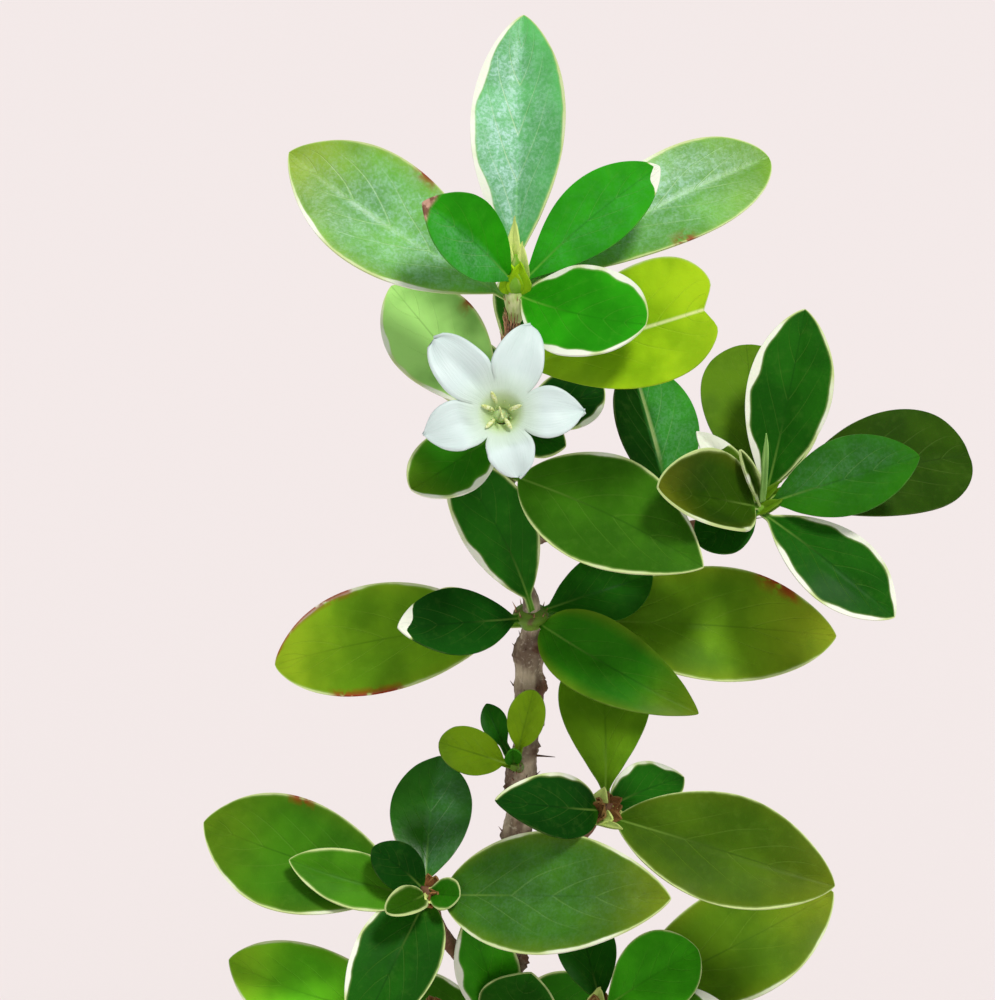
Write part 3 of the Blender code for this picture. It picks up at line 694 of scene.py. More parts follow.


# In the rows, the sheen and the ridge's highlight are painted highlights, and halves and light
# make a leaf or one half of it lighter or darker as painted light and shade, partly its own tone
# as well.
SHOOTS = {
    "tip_shoot": Shoot((0.3, 0, 128), UPRIGHT, "bud", (5, 1.25), (
        leaf(1, 38.8, -2, 7.4, 0.6, "fresh", 0.42, 0.14, roll=-7, sweep=0, bloom=(0.72, 0.26),
             glossy=True),
        leaf(-17.8, 27.8, 0, 9.4, -1.2, "spring", 0.22, 0.1, age=0.4, rust=((1, 0.5, 0.56, 0.7),),
             sweep=-0.035, bloom=(0.3, 0.36), glossy=True),
        leaf(-7.1, 23.8, 9, 5.9, 0.2, "vivid", 0, 0, wither=0.07, base=1.15, point=0.8,
             bloom=(0.12, 0)),
        leaf(11.9, 26.7, 3, 5.8, -0.2, "vivid", 0, 0, white_tip=0.03, base=1.15,
             bloom=(0.02, 0.04), light=1.1),
        leaf(20.6, 27.4, -5, 7.7, -0.3, "spring", 0.16, 0.08, age=0.2,
             rust=((1, 0.55, 0.6, 0.8),), point=0.58, sweep=-0.015, bloom=(0.44, 0.2),
             glossy=True),
        leaf(10.8, 14, 7, 7.8, -0.5, "vivid", 0.34, 0.44, base=0.75, point=0.55, sweep=0.05),
    )),
    "whorl_above_flower": Shoot((-0.3, 0, 120.8), UPRIGHT, "ring", (0.56,), (
        leaf(16.7, 15.6, 9, 10, 0.2, "lime", 0.06, 0, notch=0.075, ridge=0.9, point=0.42, age=0.1,
             fold=0.16, light=1.05, swing=-30),
        leaf(3, 17.5, -14, 6.8),
    )),
    "whorl_behind_flower": Shoot((-0.45, 0, 115.6), UPRIGHT, "ring", (0.57,), (
        leaf(-9.6, 17.1, -5, 7.8, 0.3, "pale", 0.26, 0.12, point=0.8, rust=((1, 0.6, 0.65, 0.8),),
             light=1.2),
        leaf(-5, 12.2, -13, 6.4),
        leaf(7.4, 9, -4, 4.8, 0, "black", 0.05, 0.3),
        leaf(4.4, 4.3, 2, 3.4, -0.4, "dark", 0.1, 0.1),
        leaf(-8, 0.8, 6, 5.6, 0, "deep", 0.34, 0.14, base=0.8, point=0.6, age=0.15, light=1.4),
    )),
    "whorl_below_flower": Shoot((-0.35, 0, 111.5), UPRIGHT, "ring", (0.58,), (
        leaf(15.4, -5.4, 7, 9.2, 0.2, "mid", 0.2, 0.14, sweep=-0.025, base=0.72, point=0.85,
             light=0.9, swing=-75),
        leaf(-3.2, -1.5, -12, 5.6),
    )),
    "whorl_middle": Shoot((1.6, -0.1, 98.2), UPRIGHT, "ring", (0.76,), (
        leaf(-5.1, 3.7, 9.6, 6.1, 0.9, "dark", 0.3, 0.12, sweep=0.035, light=1.4, swing=80),
        leaf(11.3, -6, -2, 5.8, 0.2, "dark", 0, 0, light=1.3),
        leaf(26, -10.9, -5, 9.6, -0.6, "olive", 0.06, 0.12, age=0.3, arch=0.02, light=1.68,
             rust=((-1, 0.73, 0.85, 0.9),)),
        leaf(15, -17.1, 4, 6.6, -0.5, "deep", 0, 0, base=0.5, point=0.84, stalk=0.03, sweep=0.03,
             age=0.3, light=1.14),
        leaf(-9.1, -10.2, 7.5, 5.6, 0, "black", 0, 0, white_tip=0.06, light=1.4),
        leaf(-18.9, -13.2, -3, 9.2, -0.8, "olive", 0.1, 0.2, age=0.25, base=0.85, point=0.7,
             light=2.2, rust=((-1, 0.5, 0.76, 0.5), (1, 0.66, 0.98, 0.3))),
        leaf(-8, -10.2, -15, 5.6, -0.5),
        leaf(10.5, -8.3, -15.5, 5.8, -0.5),
    )),
    "young_shoot": Shoot((0.3, -3, 85.5), (-0.25, -0.8, 0.6), "bud", (1.6, 0.6), (
        leaf(-5.8, -19.4, 3, 3.9, 0, "young", 0, 0, base=0.7, point=0.5, stalk=0.16, light=0.85),
        leaf(1.8, -15.2, 4.5, 3, 0, "young", 0, 0, base=0.7, point=0.5, stalk=0.3, light=1.2),
        leaf(-2, -16.3, -1, 2.1, 0, "dark", 0, 0, stalk=0.3),
        leaf(0.1, -19.9, 2.6, 1.4, 0, "deep", 0, 0),
    )),
    "right_shoot": Shoot((19.7, -0.3, 108.4), (0.8, 0, 0.6), "bud", (3, 1.2), (
        leaf(23.5, 15.3, 2, 6.8, 0.6, "dark", 0.46, 0.2, light=1.15),
        leaf(18.8, 12.4, -7, 8.2, 0.3, "olive", 0, 0, point=0.62, light=1.16),
        leaf(11.7, 1, 10, 6.6, 0.2, "dusk", 0.16, 0.1, age=0.16, cup=0.35, base=0.7, point=0.6),
        leaf(14.8, 5.5, 1, 2.6, 0.4, "olive", 0.1, 0.1, white_tip=0.24, point=0.9),
        leaf(18.3, 4, 5, 1, 0.5, "dusk", 0.2, 0.05, fold=0.8),
        leaf(32.7, 3.5, 4, 6.2, 0.4, "deep", 0, 0, roll=6, bloom=(0.05, 0.01), light=1.08),
        leaf(36.6, 3.6, -6, 9, 0.1, "dusk", 0, 0, point=0.55, light=0.9),
        leaf(30.7, -9.4, 3, 6.2, -0.1, "dark", 0.36, 0.3),
        leaf(15, -3.6, 3.5, 4.4, 0.3, "dark", 0, 0, point=0.6),
        leaf(22.4, 8.6, -12, 6.2, 0.8),
        leaf(20.4, 5.3, 7.5, 0.34, 0.4, "pale", 0, 0, stalk=0),
    )),
    "right_twig_whorl": Shoot((13.2, 0.2, 106.2), (0.97, -0.1, 0.22), "ring", (0.55,), (
        # A folded leaf painted near-black on one half and bright on the other, as shade and light
        # on the fold.
        leaf(9.7, 10.8, -4, 6.8, 0, "dark", 0, 0, fold=0.5, roll=14, halves=(0.42, 3.1),
             bloom=(0, 0.1), ridge=0.35),
        leaf(9.4, 2, -7, 4, 0, "black", 0.1, 0.3),
    )),
    "lower_right_shoot": Shoot((7.5, -3, 81), (0.6, -0.3, 0.75), "bud", (2.8, 1.15), (
        leaf(7, -12, -6, 7.6, 0.4, "olive", 0, 0, base=1.3, light=1.9),
        leaf(-1.3, -24, 7, 5.4, 0.2, "black", 0, 0.22, base=0.6),
        leaf(13.8, -22.2, -5, 4.6, 0.3, "dark", 0.3, 0.1, base=0.7, point=0.8, light=1.2),
        leaf(25.9, -30.9, 2, 9.2, -0.4, "olive", 0.05, 0.1, age=0.12, base=0.8, light=0.86),
        leaf(7, -17.5, -15, 4.6, 0.6, "deep", base=1.5),
        leaf(8.9, -26.3, 3, 0.5, -1.6, "straw", 0, 0, stalk=0, light=1.2),
    )),
    "lower_left_shoot": Shoot((-6.9, -4, 73.3), (-0.35, -0.35, 0.86), "bud", (2.8, 1.2), (
        leaf(-5.7, -20.5, -7, 6.8, 0.6, "deep", 0, 0, arch=0.09, base=0.85, point=0.85,
             bloom=(0, 0.08), glossy=True, light=1.12),
        leaf(-24.6, -25.8, -4, 9.8, 0.2, "mid", 0.16, 0.12, age=0.14, sweep=-0.035,
             rust=((1, 0.58, 0.66, 0.6),)),
        leaf(-17.8, -28.8, 1, 4.8, -0.6, "mid", 0.12, 0.12, base=0.8, sweep=-0.03, light=1.25),
        leaf(-11.1, -27.8, 3, 3.8, 0.6, "black", 0, 0, base=0.7, point=0.6),
        leaf(-10, -33, 6, 2.4, 0.3, "mid", 0.08, 0.05, cup=0.5, base=0.7, point=0.5, light=0.55),
        leaf(-12.5, -43.6, 4, 7.2, 0, "dark", 0.08, 0.3, base=0.55, stalk=0.03),
        leaf(-4.1, -31.7, 3, 2.8, 0.5, "deep", 0.08, 0.08, point=0.5),
        leaf(12.8, -31.9, 9, 10.2, 0, "mid", 0.16, 0.2, age=0.24, base=0.72, light=0.9,
             bloom=(0.04, 0.04)),
        leaf(-6.2, -24, -15, 6, 0.8),
    )),
    "foot_left_shoot": Shoot((-6.4, -3, 60), (-0.6, -0.2, 0.75), "bud", (2.6, 1.1), (
        leaf(-22.6, -36.8, -2, 8.2, 0.3, "mid", 0.16, 0.14, age=0.34, sweep=-0.07, light=3),
        leaf(-16, -48.5, 3, 6),
        leaf(-12, -46, -9, 5, 0.3, "mid", 0.3, 0.1),
        leaf(-3.5, -50.5, 8, 5.4, 0.2, "olive", 0.16, 0.2, age=0.3),
    )),
    "foot_whorl": Shoot((0.1, 0.1, 56.8), UPRIGHT, "ring", (1.38,), (
        leaf(-3.4, -33.2, 10, 5.4, 0, "deep", 0.4, 0.1, light=1.95, swing=20),
        leaf(1.6, -37.8, 9, 7, 0, "dark", 0.04, 0.04),
        leaf(6, -49, 9, 5, 0, "mid", 0.2, 0.3),
    )),
    "foot_right_shoot": Shoot((7.6, -1, 59), (0.6, -0.1, 0.75), "bud", (2.8, 1.15), (
        leaf(5.4, -33.4, -3, 5, 0.4, "dark", 0, 0, point=0.6),
        leaf(25.8, -31.4, -1, 9.8, 0.1, "olive", 0.08, 0.2, age=0.22, light=1.34),
        leaf(15, -36, 4, 7, 0.3, "deep", 0.05, 0.05, point=0.6, light=2.7),
        leaf(18.3, -42, 6, 5, 0, "mid", 0.5, 0.3),
        leaf(13, -49, 4, 5.6, 0.2, "deep", 0.2, 0.2),
    )),
    "back_shoot": Shoot((-1.6, 9, 52), (-0.1, 0.75, 0.65), "bud", (2.6, 1.1), (
        leaf(-11, -40.6, -4, 6.2, 0, "mid", 0.3, 0.2),
        leaf(8, -40.2, -4.5, 6.2, 0, "deep", 0.16, 0.35),
        leaf(-1.9, -35.5, -12, 6.4, 0.4, "spring", 0.2, 0.2),
        leaf(-6.5, -44.5, -9, 5, 0.2, "mid", 0.2, 0.2, age=0.2),
    )),
}
print("leaves:", sum(len(shoot.leaves) for shoot in SHOOTS.values()))

# %% [markdown]
# ## Bud and bristle finishes
# Buds are soft green with paler ridges, and the collars at the nodes are streaked with brown.
# The tip bud stands on a cream stalk, and dry sheaths and bristles are brown or tan. Noise that
# is drawn out along the shoot gives the streaks, and the same noise gives a low relief.

# %% Bud and bristle finishes
bud = Finish("bud_green", roughness=0.55)
soft = bud.noise(900.0, 4.0)
ridges = bud.noise(1600.0, 2.0, where=bud.stretched((1.0, 1.0, 0.25)))
colour = bud.mix(soft, (94, 160, 20), (146, 198, 44))
colour = bud.over(colour, (206, 208, 128), ridges, 0.5, 0.7, 0.0, 0.45)
BUD_GREEN = bud.finish(colour, soft, 0.48, 0.64, bud.bump(ridges, 0.00012, 0.7))

collar = Finish("collar_green", roughness=0.6)
soft = collar.noise(700.0, 4.0)
streaks = collar.noise(1500.0, 3.0, where=collar.stretched((1.0, 1.0, 0.4)))
colour = collar.mix(soft, (64, 116, 14), (132, 168, 48))
colour = collar.over(colour, (112, 82, 52), streaks, 0.5, 0.66, 0.0, 0.8)
COLLAR_GREEN = collar.finish(colour, soft, 0.52, 0.7, collar.bump(streaks, 0.0002, 0.8))

stalk = Finish("stalk_cream", roughness=0.6)
streaks = stalk.noise(1500.0, 3.0, where=stalk.stretched((1.0, 1.0, 0.3)))
colour = stalk.over((224, 226, 168), (160, 190, 86), streaks, 0.35, 0.65)
STALK_CREAM = stalk.finish(colour, streaks, 0.5, 0.66)

dry = Finish("bristle_tan", roughness=0.7)
strands = dry.noise(1800.0, 3.0)
colour = dry.over((226, 176, 132), (138, 82, 60), strands, 0.38, 0.62)
BRISTLE_TAN = dry.finish(colour, strands, 0.6, 0.78)

brown = Finish("sheath_brown", roughness=0.7)
soft = brown.noise(1300.0, 4.0)
strands = brown.noise(2600.0, 3.0, where=brown.stretched((1.0, 1.0, 0.2)))
colour = brown.mix(soft, (78, 46, 32), (150, 104, 74))
colour = brown.over(colour, (66, 40, 30), strands, 0.45, 0.7)
SHEATH_BROWN = brown.finish(colour, strands, 0.62, 0.8, brown.bump(strands, 0.0002, 0.8))
print("bud and sheath finishes ready")

# %% [markdown]
# ## Turned shapes
# Buds, collars, cups and anthers are all round in section, as if turned on a lathe. So one
# helper makes them: a disc is drawn upward in short steps, and each step gets a new width. A
# bristle is a thin cone. It is made once and copied in rings, and each copy leans a little
# differently and has its own length.


# %% Turned shapes
def turned(name, centre, axis, profile, sides, material):
    """A disc drawn along the axis through (height, radius) steps, in mm, closed at both ends."""
    low, first = profile[0]
    add = bpy.ops.mesh.primitive_circle_add
    body = new_shape(name, add, vertices=sides, radius=first * MM, fill_type="NGON")
    edit_all(body)
    bpy.ops.transform.translate(value=(0.0, 0.0, low * MM))
    for (z, radius), (next_z, next_radius) in zip(profile, profile[1:]):
        step = (0.0, 0.0, (next_z - z) * MM)
        bpy.ops.mesh.extrude_region_move(TRANSFORM_OT_translate={"value": step})
        grow = next_radius / radius
        bpy.ops.transform.resize(value=(grow, grow, 1.0), center_override=(0.0, 0.0, next_z * MM))
    bpy.ops.mesh.select_all(action="SELECT")
    bpy.ops.mesh.normals_make_consistent(inside=False)
    stop_editing()
    turn = UP.rotation_difference(axis).to_matrix().to_4x4()
    body.data.transform(Matrix.Translation(Vector(centre) * MM) @ turn)
    body.matrix_world = Matrix.Identity(4)
    body.data.materials.append(material)
    bpy.ops.object.shade_smooth_by_angle(angle=math.radians(60.0))
    return body


def thin_cone(name, sides, foot, tip, tall, lift):
    """A hidden pattern for bristles or sprigs: a thin cone that is moved up by lift."""
    add = bpy.ops.mesh.primitive_cone_add
    cone = new_shape(name, add, vertices=sides, radius1=foot, radius2=tip, depth=tall)
    edit_all(cone)
    bpy.ops.transform.translate(value=(0.0, 0.0, lift))
    stop_editing()
    cone.hide_render = True
    return cone


BRISTLE_LONG = 1.5
BRISTLE_SIZE = (0.075 * MM, 0.012 * MM, BRISTLE_LONG * MM, BRISTLE_LONG / 2 * MM)
BRISTLE = thin_cone("bristle", 5, *BRISTLE_SIZE)
BRISTLE.data.materials.append(SHEATH_BROWN)
BRISTLE.data.shade_smooth()


def spoke_at(turn, angle):
    """The direction outward from an axis at that angle round it."""
    return turn @ Vector((math.cos(angle), math.sin(angle), 0.0))


def bristles(name, centre, axis, radius, count, draw, lean=0.35, size=1.0, finish=None):
    """Bristles in a ring round a stem, leaning outward, brown unless a finish is given."""
    made = []
    turn = UP.rotation_difference(axis).to_matrix()
    for number in range(count):
        spoke = spoke_at(turn, 2 * math.pi * (number + draw.uniform(-0.35, 0.35)) / count)
        direction = (axis + spoke * (lean + draw.uniform(-0.2, 0.3))).normalized()
        foot = Vector(centre) + spoke * radius + axis * draw.uniform(-0.25, 0.25)
        pose = UP.rotation_difference(direction).to_matrix().to_4x4()
        stretch = Matrix.Diagonal((1.0, 1.0, size * draw.uniform(0.6, 1.1), 1.0))
        mesh = BRISTLE.data.copy()
        mesh.transform(Matrix.Translation(foot * MM) @ pose @ stretch)
        if finish:
            mesh.materials[0] = finish
        made.append(linked(f"{name}_{number}", mesh))
    return made


print("bristle:", triangles(BRISTLE), "triangles")

# %% [markdown]
# ## Looks of the buds
# No two kinds of bud are alike. The tip bud is lime on a cream stalk, the right one is slim and
# green, and the lower ones are brown and bristly. A table keeps these differences in one place,
# so one function can make them all. A scale is the side it stands on, in degrees, its length as
# a share of the bud's, its width and its tone. The hairs are their number, how far they lean
# and how long they are. The neck is the radius of the foot that covers the twig's end.

# %% Looks of the buds
BudLook = namedtuple("BudLook", "body foot hair scales girth tall raised spread hairs neck")
FEW_HAIRS, MANY_HAIRS = (14, 0.3, 0.7), (26, 0.7, 0.9)
TIP_SCALES = (
    (94, 1.2, 1.1, "straw"),
    (150, 0.86, 1.0, "straw"),
    (30, 0.8, 0.9, "straw"),
    (232, 0.5, 1.35, "lime"),
    (304, 0.54, 1.4, "lime"),
)
RIGHT_SCALES = (
    (0, 0.9, 1.0, "olive"),
    (90, 1.1, 1.0, "olive"),
    (180, 1.0, 1.0, "olive"),
    (270, 0.8, 1.0, "olive"),
)
BROWN_SCALES = [
    (turn, 0.4 + 0.1 * (turn % 3), 1.1, "straw" if turn % 5 == 0 else "husk")
    for turn in range(0, 360, 28)
]
BUD_LOOKS = {
    "tip_shoot": BudLook(
        BUD_GREEN, STALK_CREAM, BRISTLE_TAN, TIP_SCALES, 0.8, 0.62, 0.75, 0.55, FEW_HAIRS, 0.58
    ),
    "right_shoot": BudLook(
        BUD_GREEN, COLLAR_GREEN, SHEATH_BROWN, RIGHT_SCALES, 0.5, 1.1, 0.2, 0.65, FEW_HAIRS, 0.57
    ),
    "young_shoot": BudLook(
        COLLAR_GREEN, COLLAR_GREEN, SHEATH_BROWN, (), 0.7, 0.9, 0.0, 0.65, FEW_HAIRS, 0.47
    ),
}
BROWN_LOOK = BudLook(
    SHEATH_BROWN, SHEATH_BROWN, SHEATH_BROWN, BROWN_SCALES, 0.78, 0.7, 0.0, 1.15, MANY_HAIRS, 0.68
)
print("bud looks:", len(BUD_LOOKS) + 1)

# %% [markdown]
# ## The shoots
# Each pair of leaves stands in a short green collar with bristles on its rim, and a shoot ends
# in a small rounded bud that a few young scales hold. Now each shoot comes together: its collar
# or bud, the scales, the bristles and its laid leaves. Each becomes one object that takes the
# plain shoot's place.

# %% Build the shoots
COLLAR_TALL, COLLAR_OUT = 1.8, 0.7
SCALE_WIDE = 1.7


def stand(shoot):
    """Where a shoot's node is, and which way the shoot grows."""
    return Vector(shoot.node), Vector(shoot.axis).normalized()


def leaf_foot(shoot, spec):
    """A leaf's start, in the wall of the ring or the middle of the bud, and its tip."""
    node, axis = stand(shoot)
    tip = seen(spec.right, spec.up, nearness(node) + spec.toward)
    start = node + axis * spec.lift
    if shoot.sheath == "ring":
        outward = tip - node
        outward = (outward - axis * outward.dot(axis)).normalized()
        outward = Matrix.Rotation(math.radians(spec.swing), 3, axis) @ outward
        start += outward * (shoot.sizes[0] - 0.05)
    return start, tip


def ring_sheath(name, shoot, draw):
    """A collar that hugs the stem, with a swollen foot and bristles on its rim."""
    node, axis = stand(shoot)
    bare = shoot.sizes[0]
    thick = bare + COLLAR_OUT
    half = COLLAR_TALL / 2
    profile = (
        (-half - 0.1, bare * 1.02),
        (-half * 0.6, bare + COLLAR_OUT * 0.35),
        (-half * 0.2, thick * 0.94),
        (half * 0.25, thick),
        (half * 0.5, thick * 0.9),
        (half * 0.75, bare * 1.05),
    )
    ring = turned(name + "_collar", node, axis, profile, 20, COLLAR_GREEN)
    rim = node + axis * half * 0.5
    hairs = bristles(name + "_hair", rim, axis, thick * 0.85, 9, draw, 0.3, 0.5, BRISTLE_TAN)
    return [ring, *hairs]


BUD_STEPS = (
    (-0.35, 0.6),
    (-0.2, 0.86),
    (-0.02, 1.0),
    (0.16, 0.9),
    (0.32, 0.64),
    (0.5, 0.34),
    (0.72, 0.1),
)
CUP_STEPS = ((-0.34, 0.76), (-0.2, 0.9), (-0.02, 0.8), (0.06, 0.5))


def bud_sheath(name, shoot, look, draw):
    """A rounded bud on a short foot, with bristles where they meet."""
    node, axis = stand(shoot)
    length, radius = shoot.sizes
    radius *= look.girth
    profile = [(length * look.tall * z, radius * r) for z, r in BUD_STEPS]
    body = turned(name + "_bud", node + axis * look.raised, axis, profile, 18, look.body)
    end, neck = 0.35 * length + 0.4, look.neck
    foot = [(-end - 0.7, neck * 0.8), (-end - 0.5, neck), (-end, neck)]
    foot += [(length * z, max(radius * r, neck * 0.9)) for z, r in CUP_STEPS]
    cup = turned(name + "_cup", node, axis, foot, 18, look.foot)
    low = node - axis * length * 0.3
    count, lean, size = look.hairs
    hair_name = name + "_hair"
    hairs = bristles(hair_name, low, axis, radius * 0.7, count, draw, lean, size, look.hair)
    return [body, cup, *hairs]


def bud_scales(name, shoot, look, draw):
    """Pointed scales that close over the bud, longer ones behind it."""
    node, axis = stand(shoot)
    length, radius = shoot.sizes
    turn = UP.rotation_difference(axis).to_matrix()
    made = []
    for number, (degrees, share, wide, tone) in enumerate(look.scales):
        spoke = spoke_at(turn, math.radians(degrees) + draw.uniform(-0.1, 0.1))
        start = node + spoke * radius * look.girth * 0.6 - axis * length * 0.04
        tip = node + axis * length * share + spoke * radius * look.spread * draw.uniform(0.8, 1.2)
        # Straw and olive scales are painted lighter, making up for the shade on them.
        light = 1.0 if tone == "lime" else 1.5
        shape = like(tone, 0, 0, fold=0.2, base=0.55, point=1.3, stalk=0.0, light=light)
        width = SCALE_WIDE * wide * look.girth
        made.append(lay_leaf(f"{name}_scale_{number}", start, tip, width, shape, draw))
    return made


def build_shoot(name, shoot):
    draw = random.Random(name)
    blades = []
    for number, spec in enumerate(shoot.leaves):
        start, tip = leaf_foot(shoot, spec)
        blades.append(lay_leaf(f"{name}_leaf_{number}", start, tip, spec.width, spec.look, draw))
    if shoot.sheath == "bud":
        look = BUD_LOOKS.get(name, BROWN_LOOK)
        blades += bud_scales(name, shoot, look, draw)
        rest = bud_sheath(name, shoot, look, draw)
    else:
        rest = ring_sheath(name, shoot, draw)
    leaves = thickened(blades, name + "_blades", LEAF_THICK)
    piece = joined(name + "_leaves", [leaves, *rest])
    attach(piece, "root")
    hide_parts(name)
    return piece


for shoot_name, shoot in SHOOTS.items():
    piece = build_shoot(shoot_name, shoot)
    print(piece.name, triangles(piece), "triangles")

# %% [markdown]
# ## Petal finish
# A petal is thin enough for light to pass through, so it gets some subsurface scattering and
# looks soft. It is white with faint streaks along it, and it turns green toward the throat. Where
# the lobes dip into the funnel a grey-green is laid over the white as painted shade. The
# texture map of the grid it is made from tells how far along a point lies.

# %% Petal finish
petal = Finish(
    "petal",
    roughness=0.5,
    Subsurface_Weight=0.18,
    Subsurface_Radius=(0.8, 1.0, 0.9),
    Subsurface_Scale=LIGHT_DEPTH,
)
flat_place = petal.texture_map()
along = petal.split(flat_place)[1]
streaks = petal.noise(1.0, 3.0, where=petal.stretched((26.0, 3.0, 1.0), flat_place))
soft = petal.noise(500.0, 3.0)
white = petal.mix(soft, (220, 236, 232), (210, 228, 224))
white = petal.over(white, (190, 208, 202), streaks, 0.5, 0.75, 0.0, 0.35)
# Painted shade: the white turns grey-green where the lobes dip into the funnel.
deep = petal.between(along, 0.40, 0.64, 1.0, 0.0)
white = petal.mix(petal.times(deep, 0.7), white, (198, 220, 190))
white = petal.over(white, (196, 218, 150), along, 0.3, 0.44, 1.0, 0.0)
white = petal.over(white, (226, 232, 206), along, 0.02, 0.22, 1.0, 0.0)
PETAL = petal.finish(white, soft, 0.45, 0.6, petal.bump(streaks, 0.00008, 0.5))
print("petal nodes:", len(petal.tree.nodes))

# %% [markdown]
# ## The flower
# A serissa flower is a narrow funnel that opens into five pointed lobes. Five equal strips
# make it: each strip's foot is a fifth of the tube, and its upper part opens into a lobe.
# Where strips share the tube's rings their points are merged, so the funnel has no seams.

# %% Corolla
FLOWER_CENTRE = (-0.8, 7.0, 15.0)
FLOWER_FOOT = Vector((-0.5, -2.2, 116.0))
# Each lobe is its tip right of and above the centre, its width, and how pointed it is.
LOBES = (
    (6.7, 0.1, 3.9, 0.95),
    (2.4, 7.0, 3.8, 0.6),
    (-5.4, 5.9, 4.0, 0.55),
    (-6.2, -1.8, 3.8, 0.8),
    (1.4, -5.2, 3.5, 0.6),
)
LOBE_BACK, THROAT, TUBE = 0.5, 1.7, 0.62
LOBE_CURL = (0.12, -0.16, 0.1, -0.12, 0.14)
CALYX_LONG, GAP = 1.7, 0.3
TUBE_SHARE = 0.4
PETAL_THICK = 0.2
STRIP_COLUMNS, STRIP_ROWS = 12, 40

flower_centre = seen(*FLOWER_CENTRE)
flower_axis = (flower_centre - FLOWER_FOOT).normalized()
tube_foot = FLOWER_FOOT + flower_axis * (CALYX_LONG + GAP)
lobe_turns = [math.atan2(rise, across) % (2 * math.pi) for across, rise, _, _ in LOBES]


def tube_places(spokes, along):
    """The strip's part of the tube, which widens just below the throat."""
    low = np.clip(along / TUBE_SHARE, 0.0, 1.0) ** 0.6
    foot, centre = np.array(tube_foot), np.array(flower_centre)
    radius = TUBE + (THROAT - TUBE) * smooth(low, 0.8, 1.04)
    return foot + np.outer(low, centre - foot) + spokes * radius[:, None]


def strip_places(number, across, along):
    """Points in mm of one strip: the tube below TUBE_SHARE, the lobe above it."""
    here = lobe_turns[number]
    after = lobe_turns[(number + 1) % 5] + (2 * math.pi if number == 4 else 0.0)
    before = lobe_turns[number - 1] - (2 * math.pi if number == 0 else 0.0)
    left, right = (here + after) / 2, (here + before) / 2
    angle = left + (right - left) * (across + 1) / 2
    spokes = np.outer(np.cos(angle), np.array(RIGHT)) + np.outer(np.sin(angle), np.array(ABOVE))
    toward, centre = np.array(TOWARD), np.array(flower_centre)

    high = np.clip((along - TUBE_SHARE) / (1.0 - TUBE_SHARE), 0.0, 1.0)
    out, rise, width, point = LOBES[number]
    tip_right, tip_up = FLOWER_CENTRE[0] + out, FLOWER_CENTRE[1] + rise
    tip = np.array(seen(tip_right, tip_up, FLOWER_CENTRE[2] - LOBE_BACK))
    mid = np.cos(here) * np.array(RIGHT) + np.sin(here) * np.array(ABOVE)
    start = centre + mid * THROAT
    line = tip - start
    side = np.cross(line, toward)
    side /= np.linalg.norm(side)
    full = (0.8 + 0.2 * smooth(high, 0.0, 0.45)) * np.power(1 - high**3.4, point)
    reach = THROAT + np.linalg.norm(line) * high
    room = np.where(across < 0, math.tan(left - here), math.tan(here - right)) * reach
    half = np.minimum(width / 2 * 1.04 * full, room) + 0.02
    x = across * half
    bell = 0.9 * np.sin(np.minimum(high * 1.3, 1.0) * math.pi / 2) - 0.7 * high**2.5
    curl = LOBE_CURL[number] * across * half + 0.22 * across**2 * half
    curl += 0.14 * np.sin(7 * high + 2.3 * number + 2 * across) * np.abs(across) ** 2
    curl -= 0.34 * np.exp(-((x / 0.4) ** 2)) * (1 - high) * smooth(high, 0.0, 0.2)
    curl += 0.1 * np.sin(5 * high + 1.7 * number) * np.cos(4 * across)
    lobe = start + np.outer(high, line) + np.outer(x, side) + np.outer(bell + curl, toward)
    ring = centre + spokes * (THROAT + 5.0 * high)[:, None] + np.outer(bell, toward)
    near = smooth(high, 0.06, 0.34)[:, None]
    upper = ring * (1 - near) + lobe * near
    return np.where((along <= TUBE_SHARE)[:, None], tube_places(spokes, along), upper)


strips = []
for number in range(5):
    strip, flat = flat_grid(f"petal_strip_{number}", STRIP_COLUMNS, STRIP_ROWS)
    flat = flat.astype(float)
    move_points(strip.data, strip_places(number, flat[:, 0], (flat[:, 1] + 1) / 2))
    strip.data.materials.append(PETAL)
    strips.append(strip)
corolla = joined("corolla", strips)
merge_points(corolla, 0.02)
modified(corolla, "SOLIDIFY", thickness=PETAL_THICK * MM, offset=-1.0)
corolla.data.shade_smooth()
print("corolla", triangles(corolla), "triangles")

# %% [markdown]
# ## Inside the throat
# Five small anthers stand in the throat, with the forked stigma between them and pale down
# round them. They are only a few tenths of a millimetre wide, so turned shapes with few sides
# do for the anthers, and short copies of the bristle for the down.

# %% Stamens and stigma
anther = Finish("anther_cream", roughness=0.6)
grains = anther.noise(5200.0, 2.0)
colour = anther.over((234, 240, 188), (206, 216, 128), grains, 0.4, 0.6)
ANTHER = anther.finish(colour, grains, 0.5, 0.7, anther.bump(grains, 0.0001, 0.8))

down = Finish("throat_down", roughness=0.7, Subsurface_Weight=0.3, Subsurface_Scale=0.0005)
soft = down.noise(1500.0, 2.0)
colour = down.mix(soft, (180, 203, 134), (206, 224, 166))
DOWN = down.finish(colour, soft, 0.62, 0.78)

ANTHER_PROFILE = ((0.0, 0.06), (0.2, 0.15), (0.65, 0.19), (1.1, 0.14), (1.3, 0.05))
STYLE_PROFILE = ((-1.4, 0.09), (-0.6, 0.08), (0.1, 0.07), (0.3, 0.09))
STIGMA_PROFILE = ((0.0, 0.06), (0.3, 0.1), (0.6, 0.09), (0.75, 0.03))
CUSHION_PROFILE = ((0.0, 0.4), (0.3, 0.72), (0.6, 0.8), (0.85, 0.6), (0.95, 0.2))
STIGMA_ANGLES = (1.9, 5.0)
